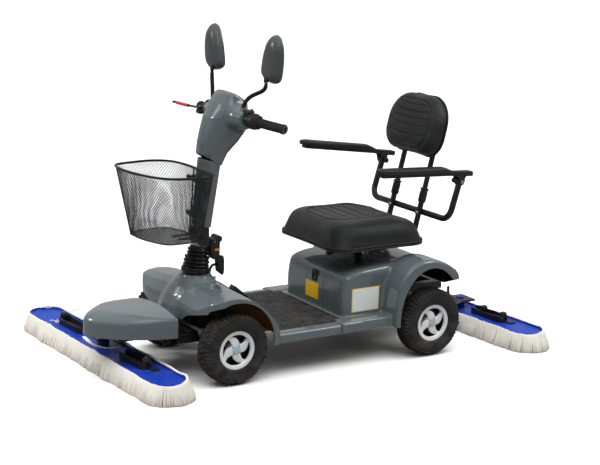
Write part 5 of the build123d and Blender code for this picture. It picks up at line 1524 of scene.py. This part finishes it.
def makeStrings(name):
    look = mops[name]
    draw = np.random.default_rng(look["seed"])
    ring = slotRing(look["length"], mopSize["width"], 480)
    steps = np.linalg.norm(np.roll(ring[:, :2], -1, axis=0) - ring[:, :2], axis=1)
    travel = np.r_[0, np.cumsum(steps)]
    closed = np.concatenate((ring, ring[:1]))
    wave = sum(draw.uniform(0.4, 1) * np.sin(k * np.linspace(0, tau, 481)[:-1] + draw.uniform(0, tau))
               for k in (37, 53, 71, 97))
    sections = []
    for z, spread, ripple in ((1.5, 14, 2.0), (14, 16, 2.0), (30, 12, 1.5), (48, 4, 0.8), (59, -6, 0)):
        flat = ring[:, :2] + ring[:, 2:] * (spread + ripple * wave)[:, None]
        sections.append(onMop(name, np.c_[flat, np.full(len(flat), z)]))
    core = loft(sections)
    count = int(travel[-1] / mopSize["pitch"])
    runs = []
    lean = np.convolve(draw.normal(0, 1, count + 24), np.ones(9) / 3, "same")
    swell = np.convolve(draw.normal(0, 1, count + 24), np.ones(13) / 13 ** 0.5, "same")
    for layer in range(mopSize["layers"]):
        for k in range(count):
            s = (k + 0.5 * layer + draw.uniform(-0.3, 0.3)) * mopSize["pitch"]
            reach = mopSize["spread"] * (1 + 0.1 * swell[k] + draw.uniform(-0.08, 0.08)) - 4 * layer
            drift = 2.6 * lean[k] + draw.uniform(-3, 3)
            rear = np.interp(s % travel[-1], travel, closed[:, 2])
            top = 67.2 + 1.1 * swell[k] + draw.uniform(-1, 1) + 6 * max(0, -rear)
            path = []
            for out, z, share in ((-3.5, top, 0.0), (2.8, top + 1.0, 0.05), (6.0, 60, 0.15), (10, 46, 0.4),
                                  (0.78 * reach, 27, 0.75), (reach, 10, 1.0), (reach + 1.5, 3.2, 1.1),
                                  (reach - 6, 2.7, 1.2)):
                at = (s + drift * share) % travel[-1]
                x, y, nx, ny = (np.interp(at, travel, closed[:, i]) for i in range(4))
                path.append((x + nx * out, y + ny * out, z))
            runs.append(onMop(name, path))
    addPiece(f"{name}_yarn_core", [(core, yarnPaintedShade)], name, (f"{name}_strings",), 60)
    wires(f"{name}_yarn", runs, mopSize["strand"], yarnCream, name, 5)


clamp = {"half": 23, "reach": 92, "sunk": 5.8,
         "rows": ((-1, 0.5, 19), (-0.93, 0.8, 24), (-0.8, 1, 27), (-0.4, 1, 23),
                                                        (0.4, 1, 23), (0.8, 1, 27), (0.93, 0.8, 24),
                                                        (1, 0.5, 19)),
         "knob": ((0, 0), (9, 0), (9, 12), (13, 14), (14.5, 17), (14.5, 30), (13, 34), (7, 36.5), (0, 37))}


def makeClamps(name):
    look = mops[name]
    parts, knobs = [], []
    for way in (1, -1):
        sections = []
        for t, wide, tall in clamp["rows"]:
            half, base = clamp["half"] * wide, mopSize["boardTop"] - clamp["sunk"]
            profile = ((-half, 0), (-half - 2, tall), (-half + 2, tall + 0.5), (-half + 3.5, 5),
                       (half - 3.5, 5), (half - 2, tall + 0.5), (half + 2, tall), (half, 0))
            sections.append(onMop(name, [(u, way * (look["clamps"] + clamp["reach"] * t), base + v)
                                         for u, v in profile]))
        sections = sections if way > 0 else sections[::-1]
        parts.append((loft(sections), plasticBlack))
        for offset in look["knobs"]:
            foot = onMop(name, [(0, way * (look["clamps"] + offset), mopSize["boardTop"] - 1)])[0]
            knobs.append(foot)
            parts.append((lathe(clamp["knob"], foot, (0, 0, 1), 18), plasticBlack))
            parts.append((moved(roundBox((-15.5, -5, 0), (15.5, 5, 16), 3.5, 2), None, foot + (0, 0, 17)),
                          plasticBlack))
        lug = onMop(name, [(-18, way * (look["clamps"] + 106), 0)])[0]
        parts.append((moved(roundBox((-16, -15, 66.2), (16, 15, 71.5), 2.2, 2), mopAxes(look)[0], lug),
                      plasticBlack))
    addPiece(f"{name}_clamp_pair", parts, name, (f"{name}_clamps",))
    screws(f"{name}_clamp_bolts", [k + (0, 0, 36.6) for k in knobs], (0, 0, 1), 4.2, 2.4, steel, name)


for mopName in mops:
    makeStrings(mopName)
    makeClamps(mopName)


mopTrim = {"ribbon": ((749, -290, 67.2), (756, -240, 67.4), (757, -180, 67.6), (735, -128, 67.4),
                      (690, -112, 67.2)),
           "ties": ((735, -694, 0.3), (772, -494, 1.4), (650, -600, 2.4)), "tieHeight": 74.5,
           "tieWire": 1.6, "hoop": ((-786, -60, 105.2), (-781, -20, 105.4), (-771, 30, 105.4),
                                    (-748, 58, 105.4), (-712, 72, 105.2)),
           "pin": ((0, 0), (7, 0), (7, 24), (5.5, 26), (5.5, 44), (4, 47), (0, 47.5)),
           "pinAt": (-757, -28, 103.8), "tagHalf": (1.2, 9, 14), "tagAt": (-697, 117, 34),
           "tagLean": (0.9, 0.43)}


def makeMopTrim():
    ribbon, hoop = (spline(mopTrim[k], 40) for k in ("ribbon", "hoop"))
    addPiece("board_strap", [(sweep(ribbon, 8, 10, (0.14, 1), (0, 0, 1)), clothWhite)], "front_mop")
    ties = []
    for x, y, turn in mopTrim["ties"]:
        for k in range(3):
            a = turn + k * 2.1
            c, s = math.cos(a), math.sin(a)
            loop = [(0, 0, 0), (14 * c - 5 * s, 14 * s + 5 * c, 5), (25 * c, 25 * s, 3),
                    (15 * c + 6 * s, 15 * s - 6 * c, 1), (0, 0, 0.5)]
            ties.append(spline(np.array(loop) + (x, y, mopTrim["tieHeight"]), 24))
    wires("board_ties", ties, mopTrim["tieWire"], clothWhite, "front_mop", 6)
    band = sweep(hoop, 8, 10, (0.16, 1), (0, 0, 1))
    pin = lathe(mopTrim["pin"], mopTrim["pinAt"], (0, 0, 1), 18)
    addPiece("hitch_hoop", [(band, frameBlack), (pin, frameBlack)], "rear_mop_lifter")
    half = np.array(mopTrim["tagHalf"])
    c, s = mopTrim["tagLean"]
    lean = np.array(((c, 0, s), (0, 1.0, 0), (-s, 0, c)))
    tag = moved(roundBox(-half, half, 0.9, 1), lean, mopTrim["tagAt"])
    addPiece("yarn_tag", [(tag, boardBlue)], "rear_mop")


makeMopTrim()
print("mops ready")

# Tiller: bellows, tilt latch, head fittings, bar ends and mirrors
bellows = {"base": 350.5, "profile": ((46, 0), (50, 0.6), (52, 4), (52, 17), (50, 21), (44, 23), (47.5, 27),
                                      (48, 31), (43, 35), (47, 40), (47.5, 45), (42, 50), (45.5, 55),
                                      (46, 59), (35, 64), (38, 69), (38.6, 74), (33, 78), (37.5, 83),
                                      (38, 88), (32, 92), (31, 99))}


latch = {"side": ((345, 474), (386, 474), (389, 436), (384, 408), (371, 394), (358, 394), (347, 412)),
         "wide": 46, "drum": ((0, -23.5), (11, -23.5), (12.5, -22), (12.5, 22), (11, 23.5), (0, 23.5)),
         "drumAt": (352, 0, 470), "paddle": ((355, 407), (343, 408), (330, 399), (326, 401), (322.5, 383),
                                             (322.5, 346), (325, 333), (329, 329), (348, 344), (351, 366)),
                                             "paddleWide": 26, "hook": ((350, 0, 368), (363, 0, 370),
                                                     (373, 0, 362), (378, 0, 348), (378, 0, 332)),
                                                     "hookWire": 5, "button": (362, 22.6, 431),
                                                     "screws": ((371, 22.4, 462), (352, 22.4, 419))}


def makeColumnFoot():
    up = unit((-math.tan(math.radians(7)), 0, 1))
    low = bellows["base"]
    line = np.array(bellows["profile"], float)
    fine = spline(np.c_[line, 0 * line[:, 0]], 120)[:, :2]
    fine[0], fine[-1] = line[0], line[-1]
    folds = lathe(fine, (axisAt(low), 0, low), up, 48)
    addPiece("bellows_folds", [(folds, foldBlack)], "steering", ("bellows",), 50)
    box = moved(slab(latch["side"], latch["wide"], 8, 4), upright, (0, latch["wide"] / 2, 0))
    drum = lathe(latch["drum"], latch["drumAt"], (0, 1, 0), 28)
    button = moved(roundBox((-9, -1.5, -4.5), (9, 2.0, 4.5), 1.6, 2), None, latch["button"])
    parts = [(box, plasticBlack), (drum, plasticBlack), (button, latchOrange)]
    addPiece("latch_housing", parts, "steering", ("tilt_box",))
    screws("latch_screws", latch["screws"], (0, 1, 0), 3.6, 2.6, steel, "steering")
    wide = latch["paddleWide"]
    blade = moved(slab(latch["paddle"], wide, 3.5, 3), upright, (0, wide / 2, 0))
    hook = sweep(spline(latch["hook"], 24), latch["hookWire"], 12)
    addPiece("latch_paddle", [(blade, plasticBlack), (hook, plasticBlack)], "tilt_lever",
             ("tilt_lever",))


barEnd = {"bend": (322, 95, 926), "tip": (262, 300, 911), "grip": 124.0, "radius": 16.0, "coils": 11,
          "coilWire": 0.85, "housing": ((11, 0), (24, 0), (27.5, 2), (29, 6), (29, 24), (27, 29),
                                        (24, 31.5), (11, 31.5)),
          "stud": ((0, 0), (6.5, 0), (7.5, 1.5), (7.5, 7), (6, 9), (0, 9.5)), "studs": ((8, 26), (-8, 30))}


def barAxes(side):  # bend point, way along the bar, and its length
    bend, tip = (np.array(barEnd[k], float) * (1, side, 1) for k in ("bend", "tip"))
    run = tip - bend
    return bend, unit(run), np.linalg.norm(run)


def makeBarEnd(side, gripNode, gripBody):
    bend, way, run = barAxes(side)
    start = bend + way * (run - barEnd["grip"])
    r, long = barEnd["radius"], barEnd["grip"]
    profile = [(11.2, 0), (23, 0), (25, 1.5), (25, 5.5), (23, 7), (r + 0.5, 8.5), (r, 12), (r, long - 9),
               (r + 1, long - 8), (r + 2, long - 5), (r + 2, long + 3), (r, long + 6), (9, long + 6.4),
               (7, long + 4), (0, long + 4)]
    parts = [(lathe(profile, start, way, 32), rubberBlack)]
    parts.append((lathe([(9.2, 0), (13.5, 0), (13.5, 0.9), (9.2, 0.9)], start + way * (long + 6.1), way, 32,
                        True), shellBlack))
    addPiece(f"{gripNode}_sleeve", parts, gripBody, (gripNode,))
    u, v, _ = basis(way)
    coils = []
    for turnWay in (1, -1):
        for k in range(barEnd["coils"]):
            angle = np.linspace(0, 2.3 * math.pi, 44) * turnWay + k * tau / barEnd["coils"]
            reach = np.linspace(13, long - 10, 44)
            coils.append(start + reach[:, None] * way + (r + 0.2)
                         * (np.cos(angle)[:, None] * u + np.sin(angle)[:, None] * v))
    wires(f"{gripNode}_pattern", coils, barEnd["coilWire"], rubberBlack, gripBody, 4)
    parts = [(lathe(barEnd["housing"], bend + way * (run - long - 33), way, 40), plasticBlack)]
    axes = np.stack((unit(np.cross(way, (0, 0, 1))), way, unit(np.cross(way, np.cross((0, 0, 1), way)))))
    block = roundBox((-17, -15, -9), (17, 15, 13), 5, 3)
    parts.append((moved(block, axes, bend + way * 45 + (0, 0, 22)), plasticBlack))
    for k, (fore, rise) in enumerate(barEnd["studs"]):
        foot = bend + way * (38 + 14 * k) + (fore, 0, rise)
        parts.append((lathe(barEnd["stud"], foot, (0.5, 0, 0.87), 18), glossBlack))
    label = "left" if side > 0 else "right"
    addPiece(f"{label}_switch_housing", parts, "tiller")
    screws(f"{label}_switch_bolts", [bend + way * d + (0, 0, 34.8) for d in (36, 54)], (0, 0, 1), 3.8, 3.0,
           steel, "tiller")
    screws(f"{label}_clamp_bolts", [bend + way * d + unit((1, 0, 0.55)) * 19.5 for d in (33, 62)],
           (1, 0, 0.55), 3.8, 3.4, steel, "tiller")


mirror = {"ball": (275, 195, 1060), "middle": (263, 209, 1145), "lean": math.radians(7), "neck": 8.5,
          "outline": ((-36, -82), (26, -84), (48, -70), (56, -38), (56, 4), (48, 44), (30, 74), (4, 85),
                      (-20, 74), (-38, 42), (-49, 2), (-54, -44), (-51, -72)),
          "rows": ((-17, 0.93), (-18, 0.97), (-14, 1.0), (-4, 0.985), (5, 0.92), (13, 0.8), (19, 0.62),
                   (22.5, 0.38), (23.5, 0.12)), "glass": ((-18.6, 0.88), (-17.4, 0.9))}


def makeMirror(name, side):
    ball, middle = (np.array(mirror[k], float) * (1, side, 1) for k in ("ball", "middle"))
    outline = np.array(mirror["outline"], float)
    edge = spline(np.c_[np.concatenate((outline, outline[:1])), np.zeros(len(outline) + 1)], 73)[:-1, :2]
    c, s = math.cos(mirror["lean"]), math.sin(mirror["lean"])

    def ringAt(a, b, w):  # across and up the mirror and out of its back, to the vehicle
        ring = middle + np.stack((np.full(len(a), w), side * (a * c + b * s), b * c - a * s), -1)
        return ring if side > 0 else ring[::-1]
    shell = loft([ringAt(edge[:, 0] * k, edge[:, 1] * k - 5 * (1 - k), w) for w, k in mirror["rows"]])
    glass = loft([ringAt(*(edge * k).T, w) for w, k in mirror["glass"]])
    bends = ((0, 0, 0.8), (-1, -side * 2, 10), (-6, -side * 6, 22), (-10, -side * 8, 36))
    neck = sweep(spline([ball + bend for bend in bends], 16), mirror["neck"], 16)
    addPiece(f"{name}_shell", [(shell, shellBlack), (neck, plasticBlack), (glass, mirrorGlass)], name,
             (name,), 45)


stalk = {"foot": 17, "top": (275, 195, 1050), "radius": 6.2, "ribs": (12, 56), "ribRadius": 6.6,
         "ribWire": 1.15}


def makeStalks():
    parts, rings = [], []
    for side in (1, -1):
        bend, way, _ = barAxes(side)
        foot = bend + way * stalk["foot"]
        ball = np.array(stalk["top"], float) * (1, side, 1)
        path = spline([foot + (0, 0, 5), foot + (0, 0, 34), (foot + ball) / 2 + (4, -side * 8, 22), ball,
                       ball + (0, 0, 9.5)], 60)
        parts.append((sweep(path, stalk["radius"], 14), plasticBlack))
        parts.append((lathe([(11, 0), (17, 0), (18, 1.5), (18, 15), (17, 16.5), (11, 16.5)],
                            bend + way * 8.2, way, 30), plasticBlack))
        parts.append((lathe([(0, 0), (11, 0), (12, 2), (12, 18), (9, 24), (6, 25), (0, 25)],
                            foot + (0, 0, 14), (0, 0, 1), 24), castGrey))
        for k in range(*stalk["ribs"]):
            turn = unit(path[k + 1] - path[k - 1])
            u, v, _ = basis(turn)
            angle = np.linspace(0, tau, 17)[:-1, None]
            rings.append(path[k] + stalk["ribRadius"] * (np.cos(angle) * u + np.sin(angle) * v))
    addPiece("mirror_stalk_rods", parts, "tiller", ("mirror_stalks",))
    wires("mirror_stalk_ribs", rings, stalk["ribWire"], plasticBlack, "tiller", 5, True)


brake = {"height": 930.3, "plan": ((352, -142), (360, -172), (366, -200), (370, -240), (372, -286),
                                   (372, -306)),
         "sleeve": (-288, -204)}


def makeBrake():
    points = [(x, y, brake["height"]) for x, y in brake["plan"]]
    path = spline(points, 40)
    low, high = brake["sleeve"]
    parts = [(sweep(path, 6.5, 14, (0.62, 1), (0, 0, 1)), frameBlack)]
    parts.append((lathe([(0, -5.5), (7, -5.5), (9, -3.5), (9, 3.5), (7, 5.5), (0, 5.5)], points[0],
                        (0, 0, 1), 24), frameBlack))
    parts.append((lathe([(0, -4), (6, -4), (8.4, -2), (8.4, 2), (6, 4), (0, 4)], points[-1], (0, 0, 1), 22),
                  frameBlack))
    parts.append((sweep([p for p in path if low < p[1] < high], 8.2, 18, (0.72, 1), (0, 0, 1)), redSleeve))
    addPiece("brake_blade", parts, "brake", ("brake_lever",))
    perch = roundBox((322, -158, 908), (362, -126, 925.4), 5, 3)
    addPiece("brake_perch", [(perch, plasticBlack)], "tiller")
    screws("brake_bolt", [(352, -142, 935.6)], (0, 0, 1), 5.0, 3.4, steel, "brake")
    screws("column_bolt", [(384, 44.6, 719)], (0, 1, 0), 4.4, 3.4, steel, "tiller")


makeColumnFoot()
makeBarEnd(1, "left_grip", "tiller")
makeBarEnd(-1, "throttle_grip", "throttle")
makeMirror("left_mirror", 1)
makeMirror("right_mirror", -1)
makeStalks()
makeBrake()
print("tiller fittings ready")


# Plates, lines, screws and strips on the body panels
def castOn(piece, start, way):  # where a ray in millimetres meets a piece, and the surface's facing there
    bpy.context.view_layer.update()
    begin, ray = Vector(toRow(start)), Vector(way).normalized()
    found, spot, facing, _ = bpy.data.objects[piece].ray_cast(begin, ray)
    if not found:
        raise RuntimeError(f"nothing of {piece} at {start}")
    return (np.array(spot) - origin) * 1000, np.array(facing)


def plateOn(piece, corner, across, up, way, count=(9, 7), thick=0.9):  # a thin plate laid on a curved panel
    outer, inner = [], []
    for t in np.linspace(0, 1, count[1]):
        for s in np.linspace(0, 1, count[0]):
            start = np.array(corner, float) + np.array(across) * s + np.array(up) * t
            spot, facing = castOn(piece, start, way)
            outer.append(spot + facing * thick)
            inner.append(spot - facing * 0.8)
    n, m = count
    faces = []
    for layer, flip in ((0, False), (n * m, True)):
        for j in range(m - 1):
            for i in range(n - 1):
                a = layer + j * n + i
                face = (a, a + 1, a + n + 1, a + n)
                faces.append(face[::-1] if flip else face)
    loop = [*range(n), *(n - 1 + n * j for j in range(1, m)),
            *(n * (m - 1) + i for i in range(n - 2, -1, -1)), *(n * j for j in range(m - 2, 0, -1))]
    for a, b in zip(loop, loop[1:] + loop[:1]):
        faces.append((b, a, a + n * m, b + n * m))
    return np.array(outer + inner), faces


def lineOn(piece, spots, way, sink=0.3):
    return [castOn(piece, s, way)[0] + np.array(way) * sink for s in spots]


def screwsOn(name, piece, starts, way, radius, height, material, body):
    for k, start in enumerate(starts):
        spot, facing = castOn(piece, start, way)
        screws(f"{name}_{k + 1}", [spot - facing * 0.3], facing, radius, height, material, body)


trim = {"yellow": ((0, -41, 196), (0, 89, 0), (0, 0, 62)),
        "border": ((-110, 300, 182), (-124, 0, 0), (0, 0, 92)),
        "pale": ((-113, 300, 185), (-118, 0, 0), (0, 0, 86)), "grid": (33, 13), "lines": (-40.5, 80),
        "lineWire": 1.0, "boxScrews": ((0, -39, 306), (0, 190, 306)), "sideScrews": ((-240, 400, 268),),
        "stripAt": 285.6, "knob": ((0, 0), (4, 0), (4, 20), (9, 22), (11, 26), (11, 32), (8, 37),
                                   (0, 38.5)), "knobAt": (-280, 23.5, 362)}


def makeTrim():
    shell = "rear_body_shell"
    front, left = (-1, 0, 0), (0, -1, 0)
    yellow = plateOn(shell, *trim["yellow"], front)
    addPiece("front_plate", [(yellow, plateYellow)], "chassis")
    border = plateOn(shell, *trim["border"], left, trim["grid"], 0.7)
    pale = plateOn(shell, *trim["pale"], left, trim["grid"], 1.4)
    addPiece("side_plate", [(border, plateYellow), (pale, platePale)], "chassis")
    lines = [lineOn(shell, [(0, y, z) for z in np.linspace(180, 300, 14)], front) for y in trim["lines"]]
    lines.append(lineOn(shell, [(-78 + 91 * -t, 82 - 38 * t, 420) for t in np.linspace(0, 1, 14)],
                        (0, 0, -1)))
    wires("panel_lines", lines, trim["lineWire"], rubberBlack, "chassis", 6)
    screwsOn("box_screw", shell, trim["boxScrews"], front, 4.0, 2.6, steel, "chassis")
    screwsOn("side_screw", shell, trim["sideScrews"], left, 4.0, 2.6, steel, "chassis")
    ends = [s * trim["stripAt"] for s in (1, -1)]
    strips = [roundBox((-26.6, y - 1.2, 132), (-23.4, y + 1.2, 166), 0.9, 1) for y in ends]
    strips.append(roundBox((-26.6, -284, 163.2), (-23.4, 284, 166.2), 0.9, 1))
    addPiece("joint_strip", [(s, rubberBlack) for s in strips], "chassis")
    knob = lathe(trim["knob"], trim["knobAt"], (0, 1, 0), 22)
    addPiece("mast_release_knob", [(knob, clothWhite)], "chassis")


makeTrim()
print("trim ready")

# Finishes of the pieces that stay as they come from the frame
cadFinish = {"chassis_frame": frameBlack, "front_axle_beam": frameBlack, "nose_bracket": frameBlack,
             "rear_hitch": frameBlack, "charge_socket": plasticBlack, "batteries": plasticBlack,
             "controller_box": plasticBlack, "drive_unit": castGrey, "steering_shaft": steel,
             "left_knuckle": frameBlack, "right_knuckle": frameBlack, "tie_rod": castGrey,
             "tiller_post": frameBlack, "column_cover": panelGrey, "handlebar": frameBlack,
             "bar_clamps": plasticBlack, "ignition_key": steel, "horn_button": glossBlack,
             "seat_pan": frameBlack, "seat_lever": frameBlack, "front_mop_arm": frameBlack,
             "rear_mop_arm": frameBlack, "front_mop_board": boardBlue, "rear_mop_board": boardBlue}
for node, material in cadFinish.items():
    for place in nodes[node].material_slots:
        place.material = material
print("frame finishes ready")
